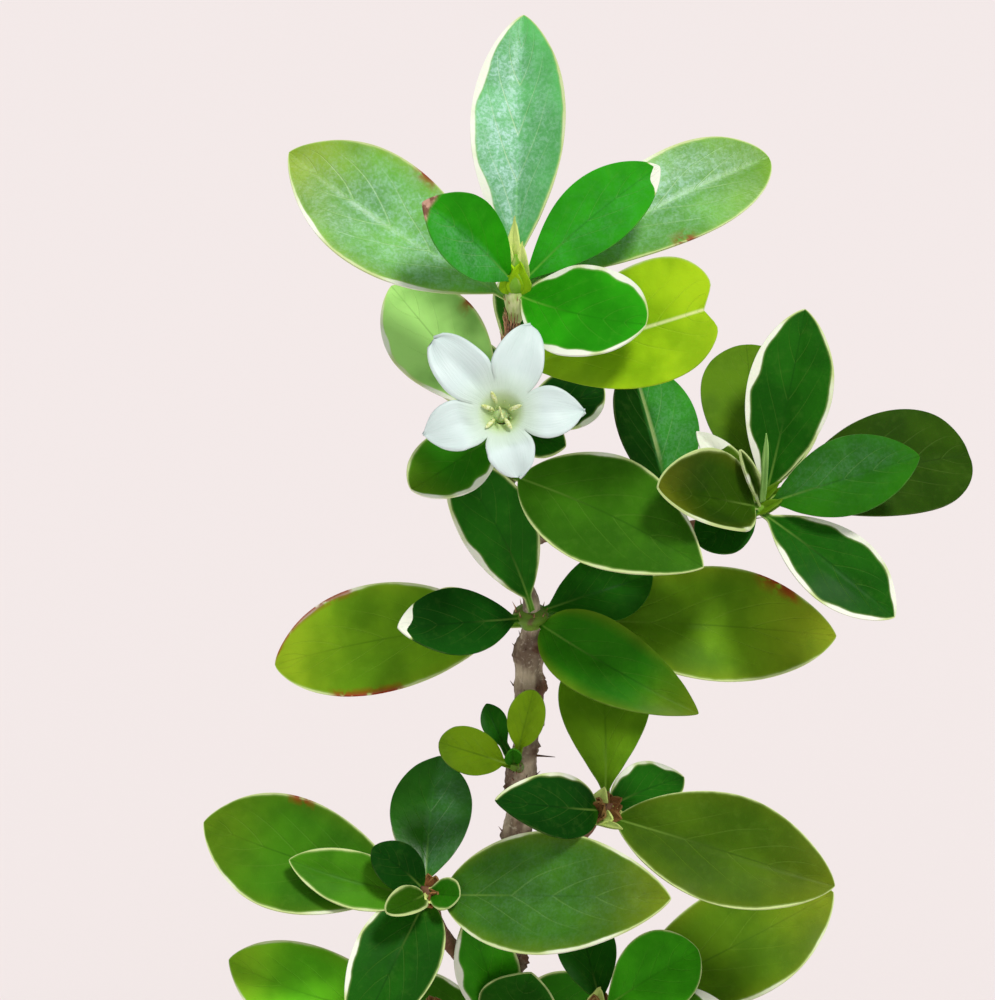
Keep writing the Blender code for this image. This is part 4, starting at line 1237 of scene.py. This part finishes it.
# The rings of down: how deep in the throat, how wide, and how far the hairs lean inward.
DOWN_RINGS = ((1.2, 0.66, -0.3), (0.7, 0.95, -0.4))
draw = random.Random("throat")
throat_parts = [turned("style", flower_centre - TOWARD * 0.3, TOWARD, STYLE_PROFILE, 10, ANTHER)]


def around(angle):
    return RIGHT * math.cos(angle) + ABOVE * math.sin(angle)


for number, turn in enumerate(lobe_turns):
    spoke = around(turn + math.radians(34.0) + draw.uniform(-0.3, 0.3))
    place = flower_centre + spoke * draw.uniform(0.45, 0.85) - TOWARD * draw.uniform(0.5, 0.9)
    lean = (TOWARD + spoke * 1.1).normalized()
    throat_parts.append(turned(f"anther_{number}", place, lean, ANTHER_PROFILE, 10, ANTHER))
for number, angle in enumerate(STIGMA_ANGLES):
    lean = (TOWARD + around(angle) * 0.8).normalized()
    place = flower_centre - TOWARD * 0.1
    throat_parts.append(turned(f"stigma_{number}", place, lean, STIGMA_PROFILE, 8, ANTHER))
cushion_foot = flower_centre - TOWARD * 2.4
throat_parts.append(turned("throat_cushion", cushion_foot, TOWARD, CUSHION_PROFILE, 24, DOWN))
for depth, reach, lean in DOWN_RINGS:
    place = flower_centre - TOWARD * depth
    count = int(4 + 7 * reach)
    throat_parts += bristles("throat_hair", place, TOWARD, reach, count, draw, lean, 0.4, DOWN)
flower = joined("flower", [corolla, *throat_parts])
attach(flower, "root")
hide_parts("flower_corolla")
print("flower", triangles(flower), "triangles")

# %% [markdown]
# ## The calyx
# The tube stands in a small green cup with five narrow teeth. The cup is a turned shape, and
# the teeth are laid like leaves, because they are small green blades as well.

# %% Calyx
CUP_PROFILE = ((0.0, 0.45), (0.3, 0.72), (0.8, 0.88), (1.3, 0.93), (CALYX_LONG, 0.95))
TEETH = 5
cup = turned("calyx_cup", FLOWER_FOOT, flower_axis, CUP_PROFILE, 20, BUD_GREEN)
turn = UP.rotation_difference(flower_axis).to_matrix()
teeth = []
draw = random.Random("calyx")
for number in range(TEETH):
    spoke = spoke_at(turn, 2 * math.pi * number / TEETH)
    start = FLOWER_FOOT + flower_axis * 1.2 + spoke * 0.86
    tip = FLOWER_FOOT + flower_axis * 3.0 + spoke * 1.25
    teeth.append(lay_leaf(f"tooth_{number}", start, tip, 0.6, like("spring", 0.05, 0.05), draw))
calyx = joined("calyx", [thickened(teeth, "calyx_teeth", 0.14), cup])
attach(calyx, "root")
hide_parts("flower_calyx")
print("calyx", triangles(calyx), "triangles")

# %% [markdown]
# ## Bark finish
# The stem is grey-brown with dark flakes at its old leaf scars, and its young twigs are redder.
# Two attributes on the trunk's mesh tell the finish where the wood is young and where the scars
# are. Noise drawn out along the stem gives the lumps, and cells give the flakes.

# %% Bark finish
bark = Finish("bark", roughness=0.85)
tall = bark.stretched((1.0, 1.0, 0.35))
lumps = bark.noise(700.0, 5.0, 0.6, where=tall, distortion=0.4)
flakes = bark.cells(900.0, where=tall)
specks = bark.noise(3200.0, 3.0)
grey = bark.over((132, 108, 86), (214, 196, 170), lumps, 0.3, 0.62)
grey = bark.over(grey, (88, 64, 46), flakes, 0.35, 0.7, 0.0, 0.7)
grey = bark.over(grey, (226, 212, 190), specks, 0.54, 0.68, 0.0, 0.5)
reddish = bark.mix(lumps, (98, 56, 40), (156, 104, 76))
grey = bark.mix(bark.attribute("young"), grey, reddish)
scar = bark.times(bark.attribute("scar"), bark.between(lumps, 0.4, 0.58, 0.15, 1.0))
grey = bark.mix(scar, grey, (92, 60, 42))
relief = bark.bump(lumps, 0.00035, 0.9)
relief = bark.bump(specks, 0.00012, 0.7, relief)
BARK = bark.finish(grey, lumps, 0.74, 0.94, relief)
print("bark nodes:", len(bark.tree.nodes))

# %% [markdown]
# ## Bark
# Serissa bark is knobbly: it swells at old leaf scars and where twigs have fallen off. The
# plain trunk already has the right course and girth, so a copy of it is merged and remeshed
# finely. Its points are then pushed along their normals: broad lumps first, then flakes at the
# scars and the stumps of twigs.

# %% Trunk
SCARS = (33.0, 40.0, 47.0, 53.5, 64.5, 70.5, 77.0, 83.0, 87.5, 91.5, 95.3)
UPPER_SCARS = (102.6, 105.0, 118.0, 123.6)
STEM_X = 0.4
BARK_GRAIN = 0.2
# The knobs are stumps of fallen twigs: place, reach and height in mm.
KNOBS = (
    ((2.4, -0.9, 95.9), 0.9, 0.75),
    ((0.1, -0.7, 94.4), 0.7, 0.35),
    ((2.5, -0.5, 91.6), 0.8, 0.5),
    ((0.3, -1.0, 88.6), 0.7, 0.3),
    ((1.8, -0.8, 85.6), 0.9, 0.45),
    ((-0.6, -0.8, 81.8), 0.8, 0.45),
    ((1.4, 0.6, 77.0), 0.9, 0.5),
    ((-1.3, 0.4, 69.0), 0.9, 0.5),
    ((1.2, -0.6, 64.0), 0.9, 0.5),
    ((-1.8, 0.8, 44.5), 1.1, 0.6),
    ((1.6, -1.0, 38.0), 1.3, 0.7),
    ((-2.4, -1.2, 31.5), 1.4, 0.6),
)


def merged_copy(node, name):
    """A copy of a plain node's mesh with its loose triangles merged."""
    thing = linked(name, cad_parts[node].data.copy())
    thing.data.materials.clear()
    merge_points(thing, 0.001)
    return thing


def remeshed(thing, size):
    modified(thing, "REMESH", mode="VOXEL", voxel_size=size * MM)


def pushed(thing, height):
    """Every point moved along its normal by height(place, normal), all in mm."""
    mesh = thing.data
    normals = [vertex.normal.copy() for vertex in mesh.vertices]
    for vertex, normal in zip(mesh.vertices, normals):
        vertex.co += normal * (height(vertex.co / MM, normal) * MM)


def off_stem(place):
    """How far a place is from the middle of the upright stem, in mm."""
    return math.hypot(place.x - STEM_X, place.y)


def rising(value, low, high):
    """0 at low and before it, 1 at high and past it, and a straight way between."""
    return min(max((value - low) / (high - low), 0.0), 1.0)


def near_scar(place):
    """1 at an old leaf scar on the upright stem, 0 away from it."""
    if off_stem(place) > 3.4:
        return 0.0
    heights = SCARS + UPPER_SCARS
    ragged = 0.7 * noise.noise(place * 1.1)
    return max(math.exp(-(((place.z + ragged - z) / 0.75) ** 2)) for z in heights)


def near_knobs(place):
    """For each knob its height, and 1 at its middle or less away from it."""
    rows = []
    for spot, reach, tall in KNOBS:
        away = (place - Vector(spot)).length / reach
        rows.append((tall, math.exp(-(away**2))))
    return rows


def slimmer(place):
    """How far the upright stem's bark lies under the plain model's wall, 0 at its ends."""
    if off_stem(place) > 2.2:
        return 0.0
    return 0.2 * rising(place.z, 58.0, 64.0) * rising(place.z, 98.0, 96.0)


def bark_height(place, normal):
    long_place = Vector((place.x, place.y, place.z * 0.45))
    lumps = noise.noise(long_place * 0.9) * 0.22 + noise.noise(place * 2.3) * 0.1
    thin = 0.5 if place.z > 100.0 or off_stem(place) > 3.0 else 1.0
    flaky = abs(noise.noise(place * 1.9 + Vector((9.0, 0.0, 0.0))))
    broad = Vector((place.x * 0.5, place.y * 0.5, place.z * 0.21))
    sided = max(0.0, noise.noise(broad) + 0.35)
    knobs = sum(tall * share for tall, share in near_knobs(place))
    scar = near_scar(place) * (0.04 + 0.5 * flaky * sided)
    return thin * (lumps * 0.7 + scar) + knobs * (0.6 + 1.6 * flaky) - slimmer(place)


trunk = merged_copy("trunk", "bark_trunk")
remeshed(trunk, BARK_GRAIN)
modified(trunk, "SMOOTH", factor=0.5, iterations=4)
pushed(trunk, bark_height)
young, scars = [], []
for vertex in trunk.data.vertices:
    place = vertex.co / MM
    is_twig = place.z > 40.0 and off_stem(place) > 2.2
    young.append(0.85 if is_twig else min(max((place.z - 100.0) / 40.0, 0.0), 0.35))
    knob = max(share for _, share in near_knobs(place))
    scars.append(min(near_scar(place) * 0.5 + knob, 1.0))
write_attribute(trunk.data, "young", "FLOAT", young)
write_attribute(trunk.data, "scar", "FLOAT", scars)
trunk.data.materials.append(BARK)
trunk.data.shade_smooth()
print("trunk", triangles(trunk), "triangles")

# %% [markdown]
# ## Old bristles on the stem
# Dry bristles of old sheaths still stand at the scars, so short rings of them go on the stem.
# Rings that follow each other closely make the fringe below the tip bud, and one small spine is
# a turned shape with a fine point.

# %% Old bristles on the stem
# The stem's line is its sideways place, its height and its radius.
STEM_LINE = (
    (0.5, 52.0, 1.45),
    (0.0, 59.5, 1.3),
    (-0.2, 66.0, 1.2),
    (0.1, 72.5, 1.2),
    (0.7, 80.5, 1.2),
    (1.3, 88.0, 1.2),
    (1.5, 97.2, 1.1),
    (0.7, 102.2, 0.6),
    (-0.2, 108.5, 0.58),
    (-0.5, 116.0, 0.57),
    (0.1, 125.2, 0.52),
)
LOWEST_RINGS = 3
FRINGE_FOOT, FRINGE_STEP, FRINGE_RINGS = 121.9, 0.6, 5
SPINE_PROFILE = ((0.0, 0.14), (0.7, 0.1), (1.2, 0.07), (1.7, 0.05), (2.1, 0.02))


def stem_at(z):
    """The place of the stem's middle at a height, and its radius there."""
    sideways, heights, radii = zip(*STEM_LINE)
    x = float(np.interp(z, heights, sideways))
    return (x, 0.0, z), float(np.interp(z, heights, radii))


hairs = []
draw = random.Random("stem")
for z in SCARS[LOWEST_RINGS:] + UPPER_SCARS:
    foot, radius = stem_at(z)
    hairs += bristles(f"stem_hair_{z}", foot, UP, radius, 6, draw, 0.7, 0.45)
fringe = Vector((0.0, 0.0, FRINGE_FOOT))
for step in range(FRINGE_RINGS):
    fringe.z += FRINGE_STEP
    foot, radius = stem_at(fringe.z)
    hairs += bristles(f"fringe_{step}", foot, UP, radius, 14, draw, 0.18, 1.0, BRISTLE_TAN)
spine_foot, spine_tip = seen(1.5, -20.4, -11.6), seen(4.0, -20.6, -11.4)
spine_way = (spine_tip - spine_foot).normalized()
hairs.append(turned("spine", spine_foot, spine_way, SPINE_PROFILE, 10, SHEATH_BROWN))
trunk = joined("bark_trunk", [trunk, *hairs])
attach(trunk, "root")
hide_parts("trunk")
print("trunk with bristles", triangles(trunk), "triangles")

# %% [markdown]
# ## Clay finish
# Unglazed clay is matt and never quite even. Faint level bands come from its making, coarse
# grit shows as pale specks, and lime leaves a pale bloom near the rim, where water dries. Each
# of these is one noise or cell pattern laid over the brown.

# %% Clay finish
BLOOM_LOW, BLOOM_HIGH = 0.0205, 0.0262
clay = Finish("clay", roughness=0.8)
bands = clay.noise(170.0, 3.0, where=clay.stretched((0.25, 0.25, 3.0)))
stain = clay.noise(60.0, 5.0, 0.6)
grit = clay.cells(1900.0)
fine = clay.noise(2600.0, 3.0)
colour = clay.over((120, 86, 69), (138, 102, 83), stain, 0.3, 0.7)
colour = clay.over(colour, (104, 74, 60), bands, 0.45, 0.7, 0.0, 0.22)
colour = clay.over(colour, (176, 146, 122), grit, 0.0, 0.16, 0.5, 0.0)
height = clay.split(clay.place())[2]
rim_high = clay.between(height, BLOOM_LOW, BLOOM_HIGH)
bloom = clay.times(rim_high, clay.between(stain, 0.46, 0.62))
colour = clay.mix(clay.times(bloom, 0.5), colour, (196, 178, 160))
relief = clay.bump(bands, 0.0004, 0.4)
relief = clay.bump(fine, 0.00022, 0.7, relief)
CLAY = clay.finish(colour, stain, 0.72, 0.9, relief)
print("clay nodes:", len(clay.tree.nodes))

# %% [markdown]
# ## The tray
# Bonsai trays are tapered boxes with round corners, a lip and four feet. The box is a low cube
# with its upright edges rounded. Its top face is then drawn up along the wall, over the lip and
# down inside, one extrusion and one resize for each step, so the wall stays one clean skin.

# %% Tray body
POT_WIDTH, POT_DEPTH, POT_HEIGHT = 88.0, 62.0, 26.0
POT_TAPER, POT_WALL, POT_FLOOR, POT_CORNER = 4.6, 3.2, 3.6, 12.0
LIP_HEIGHT, LIP_OUT, EDGE = 4.0, 1.3, 0.7
FOOT_HEIGHT, FOOT_WIDTH, FOOT_DEPTH, FOOT_CORNER = 3.2, 14.0, 9.0, 3.0
DRAIN_RADIUS, DRAIN_SPREAD = 4.0, 20.0
BASE_TALL = 1.0
lip_foot = POT_HEIGHT - LIP_HEIGHT
# Each step is how far the wall stands in from the tray's widest line, and its height.
WALL_STEPS = (
    (POT_TAPER, FOOT_HEIGHT + 1.2),
    (LIP_OUT + 0.1, lip_foot - 0.3),
    (LIP_OUT, lip_foot),
    (EDGE / 2, lip_foot + EDGE),
    (0.0, lip_foot + 2 * EDGE),
    (0.0, POT_HEIGHT - EDGE),
    (EDGE * 0.3, POT_HEIGHT - EDGE * 0.3),
    (EDGE, POT_HEIGHT),
    (POT_WALL - EDGE, POT_HEIGHT),
    (POT_WALL - EDGE * 0.3, POT_HEIGHT - EDGE * 0.3),
    (POT_WALL, POT_HEIGHT - EDGE),
    (POT_TAPER + POT_WALL, FOOT_HEIGHT + POT_FLOOR),
)


def rounded_block(name, size, place, corner, segments):
    """A box of that size in mm, its middle at place, with round upright edges."""
    block = new_shape(name, bpy.ops.mesh.primitive_cube_add, size=1.0)
    edit_all(block)
    bpy.ops.transform.resize(value=tuple(side * MM for side in size), center_override=(0, 0, 0))
    bpy.ops.transform.translate(value=tuple(p * MM for p in place))
    mesh = block.data

    def upright(edge):
        first, second = (mesh.vertices[i].co for i in edge.vertices)
        return abs(first.x - second.x) < 1e-6 and abs(first.y - second.y) < 1e-6

    pick(block, "EDGE", upright)
    bpy.ops.mesh.bevel(offset=corner * MM, segments=segments, affect="EDGES")
    stop_editing()
    return block


less = POT_TAPER + 1.2
base_wide, base_deep = POT_WIDTH - 2 * less, POT_DEPTH - 2 * less
base_place = (0, 0, FOOT_HEIGHT + BASE_TALL / 2)
base_size = (base_wide, base_deep, BASE_TALL)
tray = rounded_block("tray", base_size, base_place, POT_CORNER - less, 12)
start_editing(tray)
top_z = max(vertex.co.z for vertex in tray.data.vertices)
pick(tray, "FACE", lambda face: face.normal.z > 0.9 and face.center.z > top_z - 1e-5)
now_z = FOOT_HEIGHT + BASE_TALL
for step_less, z in WALL_STEPS:
    step = (0.0, 0.0, (z - now_z) * MM)
    bpy.ops.mesh.extrude_region_move(TRANSFORM_OT_translate={"value": step})
    wide = (POT_WIDTH - 2 * step_less) / (POT_WIDTH - 2 * less)
    deep = (POT_DEPTH - 2 * step_less) / (POT_DEPTH - 2 * less)
    bpy.ops.transform.resize(value=(wide, deep, 1.0), center_override=(0.0, 0.0, z * MM))
    less, now_z = step_less, z
stop_editing()
print("tray body", triangles(tray), "triangles")

# %% [markdown]
# ## Feet and drainage holes
# Four low feet lift a tray off its stand, so that water runs out of its two drainage holes. The
# feet are joined on and the holes cut out with booleans, which keep one closed body. A narrow
# bevel then softens the sharp edges, as a wet sponge does before the clay is fired.

# %% Tray feet and drainage holes
foot_across = POT_WIDTH / 2 - POT_TAPER - FOOT_WIDTH / 2 - 4.0
foot_along = POT_DEPTH / 2 - POT_TAPER - FOOT_DEPTH / 2 - 1.2
FOOT_TALL = FOOT_HEIGHT + BASE_TALL
FOOT_SIZE = (FOOT_WIDTH, FOOT_DEPTH, FOOT_TALL)
FOOT_EDGE = 0.6
DRAIN_TALL, DRAIN_SIDES = 12, 40
SPONGED = 0.25


def combined(body, tools, operation):
    for tool in tools:
        modified(body, "BOOLEAN", operation=operation, object=tool, solver="EXACT")
    for tool in tools:
        bpy.data.objects.remove(tool, do_unlink=True)


feet = []
for number, (x, y) in enumerate(((1, 1), (-1, 1), (-1, -1), (1, -1))):
    place = (x * foot_across, y * foot_along, FOOT_TALL / 2)
    foot = rounded_block(f"foot_{number}", FOOT_SIZE, place, FOOT_CORNER, 6)
    start_editing(foot)
    pick(foot, "FACE", lambda face: face.normal.z < -0.9)
    bpy.ops.mesh.bevel(offset=FOOT_EDGE * MM, segments=3, affect="EDGES")
    stop_editing()
    feet.append(foot)
combined(tray, feet, "UNION")
drains = []
for number, x in enumerate((-DRAIN_SPREAD, DRAIN_SPREAD)):
    drain = new_shape(
        f"drain_{number}",
        bpy.ops.mesh.primitive_cylinder_add,
        vertices=DRAIN_SIDES,
        radius=DRAIN_RADIUS * MM,
        depth=DRAIN_TALL * MM,
        location=(x * MM, 0, FOOT_HEIGHT * MM),
    )
    drains.append(drain)
combined(tray, drains, "DIFFERENCE")
sharp = math.radians(38.0)
modified(
    tray, "BEVEL", width=SPONGED * MM, segments=2, limit_method="ANGLE", angle_limit=sharp
)
tray.data.materials.clear()
tray.data.materials.append(CLAY)
only(tray)
bpy.ops.object.shade_smooth_by_angle(angle=math.radians(40.0))
tray = named(tray, "clay_tray")
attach(tray, "root")
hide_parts("pot")
print("clay tray", triangles(tray), "triangles")

# %% [markdown]
# ## Soil and moss finishes
# Bonsai soil is a mix of baked clay crumbs and grit, and moss spreads over it near the trunk.
# The soil between the crumbs is dark and rough. Each crumb carries its own tint, from ochre to
# grey, and the moss goes from deep green to yellow green in patches.

# %% Soil and moss finishes
soil = Finish("soil_dark", roughness=0.95)
lumps = soil.noise(420.0, 5.0, 0.65)
fine = soil.noise(2200.0, 3.0)
colour = soil.mix(lumps, (44, 30, 22), (98, 70, 50))
colour = soil.over(colour, (132, 104, 78), fine, 0.52, 0.72, 0.0, 0.5)
SOIL_DARK = soil.finish(colour, fine, 0.86, 0.98, soil.bump(lumps, 0.0008, 0.9))

baked = Finish("soil_crumbs", roughness=0.9)
pores = baked.noise(3000.0, 4.0)
colour = baked.mix(pores, (60, 46, 36), baked.attribute("tint", "Color"))
CRUMBS = baked.finish(colour, pores, 0.8, 0.96, baked.bump(pores, 0.0002, 0.8))

mossy = Finish("moss", roughness=0.85)
patches = mossy.noise(240.0, 4.0)
fine = mossy.noise(3600.0, 2.0)
colour = mossy.mix(patches, (52, 84, 22), (128, 156, 48))
colour = mossy.over(colour, (164, 182, 74), fine, 0.5, 0.7, 0.0, 0.5)
MOSS = mossy.finish(colour, fine, 0.75, 0.95, mossy.bump(fine, 0.0003, 0.9))
print("soil finishes ready")

# %% [markdown]
# ## The soil's body
# Under the crumbs the soil is one body that fills the tray and rises to a low mound round the
# trunk. A copy of the plain solid is remeshed, and only its top is made uneven. Its sides and
# its foot stay smooth, because the tray hides them.

# %% Soil body
SOIL_BELOW_RIM, SOIL_MOUND = 4.6, 2.6
SOIL_GRAIN = 0.7


def soil_height(x, y):
    """The top of the soil, a low mound that falls to the tray's wall."""
    far = math.hypot(x / (POT_WIDTH / 2 - POT_WALL), y / (POT_DEPTH / 2 - POT_WALL))
    return POT_HEIGHT - SOIL_BELOW_RIM + SOIL_MOUND * (1 - min(far, 1.0) ** 2)


def soil_roughness(place, normal):
    if normal.z < 0.5:
        return 0.0
    return 0.45 * noise.noise(place * 0.35) + 0.28 * noise.noise(place * 1.1)


bed = merged_copy("soil", "soil_bed")
remeshed(bed, SOIL_GRAIN)
pushed(bed, soil_roughness)
bed.data.materials.append(SOIL_DARK)
bed.data.shade_smooth()
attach(bed, "root")
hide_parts("soil")
print("soil bed", triangles(bed), "triangles")

# %% [markdown]
# ## Crumbs
# The top of the soil is a layer of loose crumbs, each with a few blunt faces. One bevelled and
# slightly bent cube is the pattern. Its points are copied with another turn, size and tint for
# every crumb, and all go into one mesh, which is far quicker than 1500 objects.

# %% Crumbs
CRUMB_COUNT = 1500
CRUMB_SMALLEST, CRUMB_LARGEST = 0.7, 2.0
CLEAR_OF_TRUNK, CLEAR_OF_WALL = 4.0, 2.2
CRUMB_TONES = (
    (150, 108, 74),
    (122, 84, 58),
    (92, 66, 50),
    (168, 138, 108),
    (70, 62, 58),
    (186, 168, 146),
)
CRUMB_TONES = [linear(*tone) for tone in CRUMB_TONES]
CRUMB = new_shape("crumb", bpy.ops.mesh.primitive_cube_add, size=1.0)
edit_all(CRUMB)
bpy.ops.mesh.bevel(offset=0.26, segments=1, affect="EDGES")
bpy.ops.transform.vertex_random(offset=0.12, seed=4)
stop_editing()
CRUMB.hide_render = True


def scattered(name, unit, rows, material, tints=None):
    """One object with a copy of the unit's mesh for each (place, turn, size) row, in mm."""
    points = np.array([tuple(vertex.co) for vertex in unit.data.vertices])
    faces = [tuple(face.vertices) for face in unit.data.polygons]
    all_points, all_faces = [], []
    for number, (place, turn, size) in enumerate(rows):
        moved = (points * np.array(size)) @ np.array(turn.to_matrix()).T + np.array(place)
        base = number * len(points)
        all_points.append(moved * MM)
        all_faces += [tuple(base + i for i in face) for face in faces]
    mesh = bpy.data.meshes.new(name)
    mesh.from_pydata(np.concatenate(all_points).tolist(), [], all_faces)
    if tints:
        write_attribute(mesh, "tint", "FLOAT_COLOR", np.repeat(tints, len(points), axis=0))
    mesh.materials.append(material)
    return linked(name, mesh)


def on_soil(draw):
    """A random place on the open soil, clear of the trunk and the tray's wall."""
    half_wide = POT_WIDTH / 2 - POT_WALL - CLEAR_OF_WALL
    half_deep = POT_DEPTH / 2 - POT_WALL - CLEAR_OF_WALL
    corner = POT_CORNER - POT_WALL
    while True:
        x, y = draw.uniform(-half_wide, half_wide), draw.uniform(-half_deep, half_deep)
        over_x, over_y = abs(x) - half_wide + corner, abs(y) - half_deep + corner
        in_corner = over_x > 0 and over_y > 0 and math.hypot(over_x, over_y) > corner
        if math.hypot(x, y) > CLEAR_OF_TRUNK and not in_corner:
            return x, y


draw = random.Random("crumbs")
rows, tints = [], []
for _ in range(CRUMB_COUNT):
    x, y = on_soil(draw)
    size = draw.uniform(CRUMB_SMALLEST, CRUMB_LARGEST)
    turn = Vector((draw.gauss(0, 1), draw.gauss(0, 1), draw.gauss(0, 1)))
    turn = UP.rotation_difference(turn.normalized())
    sizes = tuple(size * draw.uniform(0.7, 1.1) for _ in range(3))
    rows.append(((x, y, soil_height(x, y) + size * 0.16), turn, sizes))
    tints.append(draw.choice(CRUMB_TONES))
crumbs = scattered("soil_crumb_layer", CRUMB, rows, CRUMBS, tints)
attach(crumbs, "root")
print("crumbs", triangles(crumbs), "triangles")

# %% [markdown]
# ## Moss
# Moss grows in low cushions with an uneven rim, and thousands of short sprigs make their
# surface. Each cushion is a ball pressed flat, whose points follow the soil's mound. A tiny cone
# is the sprig, scattered over the cushions by the same rule that shapes them.

# %% Moss
# Each cushion is its place across and along, its half width and half depth, and its height.
CUSHIONS = (
    (-9.5, -7.0, 7.5, 5.0, 1.5),
    (8.0, -9.5, 6.0, 4.2, 1.2),
    (12.5, 5.5, 6.5, 5.0, 1.4),
    (-13.0, 7.0, 6.0, 4.6, 1.3),
    (-27.0, -11.0, 8.0, 5.5, 1.3),
    (28.0, 9.0, 7.5, 6.0, 1.4),
    (25.0, -13.0, 6.0, 4.2, 1.1),
    (-25.0, 13.5, 7.0, 4.6, 1.2),
    (1.0, 14.0, 6.5, 4.4, 1.2),
)
SPRIGS_PER_AREA = 9
SPRIG_SINKS = 0.1
SPRIG = thin_cone("sprig", 4, 0.16, 0.02, 1.0, 0.4)


def on_cushion(number, ball):
    """Where a point of a ball of radius 1 goes on that cushion, in mm."""
    x, y, wide, deep, tall = CUSHIONS[number]
    ragged = 1 + 0.22 * noise.noise(Vector((ball.x * 2.0 + number * 7, ball.y * 2.0, 0.0)))
    x, y = x + ball.x * wide * ragged, y + ball.y * deep * ragged
    lump = 0.25 * noise.noise(Vector((x, y, 0.0)) * 0.8)
    return x, y, soil_height(x, y) + ball.z * tall * 0.75 + lump


draw = random.Random("moss")
cushion_parts, sprigs = [], []
for number, (_, _, wide, deep, _) in enumerate(CUSHIONS):
    add = bpy.ops.mesh.primitive_ico_sphere_add
    cushion = new_shape(f"cushion_{number}", add, subdivisions=5, radius=1.0)
    for vertex in cushion.data.vertices:
        vertex.co = Vector(on_cushion(number, vertex.co.copy())) * MM
    cushion.data.materials.append(MOSS)
    cushion.data.shade_smooth()
    cushion_parts.append(cushion)
    for _ in range(int(wide * deep * SPRIGS_PER_AREA)):
        far, angle = math.sqrt(draw.random()) * 0.98, draw.uniform(0, 6.283)
        ball = Vector((far * math.cos(angle), far * math.sin(angle), math.sqrt(1 - far * far)))
        x, y, top = on_cushion(number, ball)
        lean = Vector((draw.uniform(-0.6, 0.6), draw.uniform(-0.6, 0.6), 1.0)).normalized()
        size = draw.uniform(0.5, 0.95)
        turn = UP.rotation_difference(lean)
        sprigs.append(((x, y, top - SPRIG_SINKS), turn, (size, size, size)))
moss = joined("moss_cushions", [*cushion_parts, scattered("moss_sprigs", SPRIG, sprigs, MOSS)])
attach(moss, "root")
print("moss", triangles(moss), "triangles")

# %% [markdown]
# ## Tidy up the patterns
# The flat blade, the bristle, the crumb and the sprig were only copied from, so they go.

# %% Remove the patterns
for pattern in (FLAT_BLADE, BRISTLE, CRUMB, SPRIG):
    bpy.data.objects.remove(pattern, do_unlink=True)

# %% [markdown]
# ## Floor
# The picture's ground is a plain pinkish white without an edge. One large pale sheet under the
# tray gives that, and it catches the plant's soft shadow.

# %% Floor
FLOOR_WIDE = 6.0
pale = Finish("floor_pale", roughness=0.9)
faint = pale.noise(3.0, 2.0)
FLOOR = pale.finish(pale.mix(faint, (0.806, 0.732, 0.726, 1.0), (0.812, 0.738, 0.732, 1.0)))
floor = new_shape("floor", bpy.ops.mesh.primitive_plane_add, size=FLOOR_WIDE)
floor.data.materials.append(FLOOR)
print("floor", FLOOR_WIDE, "m wide")

# %% [markdown]
# ## Light
# Soft daylight falls on the plant from above and a little from the right. A wide sun gives its
# gentle shadows and an even sky fills them. Glossy surfaces don't show that sky, because the
# leaves would look grey under it.

# %% Light
SUN_FROM = Vector((0.28, -0.33, 0.90))
sun_light = bpy.data.lights.new("sun", "SUN")
sun_light.energy = 2.1
sun_light.angle = math.radians(12.0)
sun_light.color = (1.0, 0.99, 0.97)
sun = linked("sun", sun_light)
sun.rotation_euler = SUN_FROM.to_track_quat("Z", "Y").to_euler()

world = bpy.data.worlds.new("sky")
world.use_nodes = True
sky = world.node_tree.nodes["Background"].inputs
sky["Color"].default_value = (0.97, 0.98, 1.0, 1.0)
sky["Strength"].default_value = 0.55
world.cycles_visibility.glossy = False
bpy.context.scene.world = world
bpy.context.scene.view_settings.view_transform = "Standard"
print("sun", sun_light.energy)
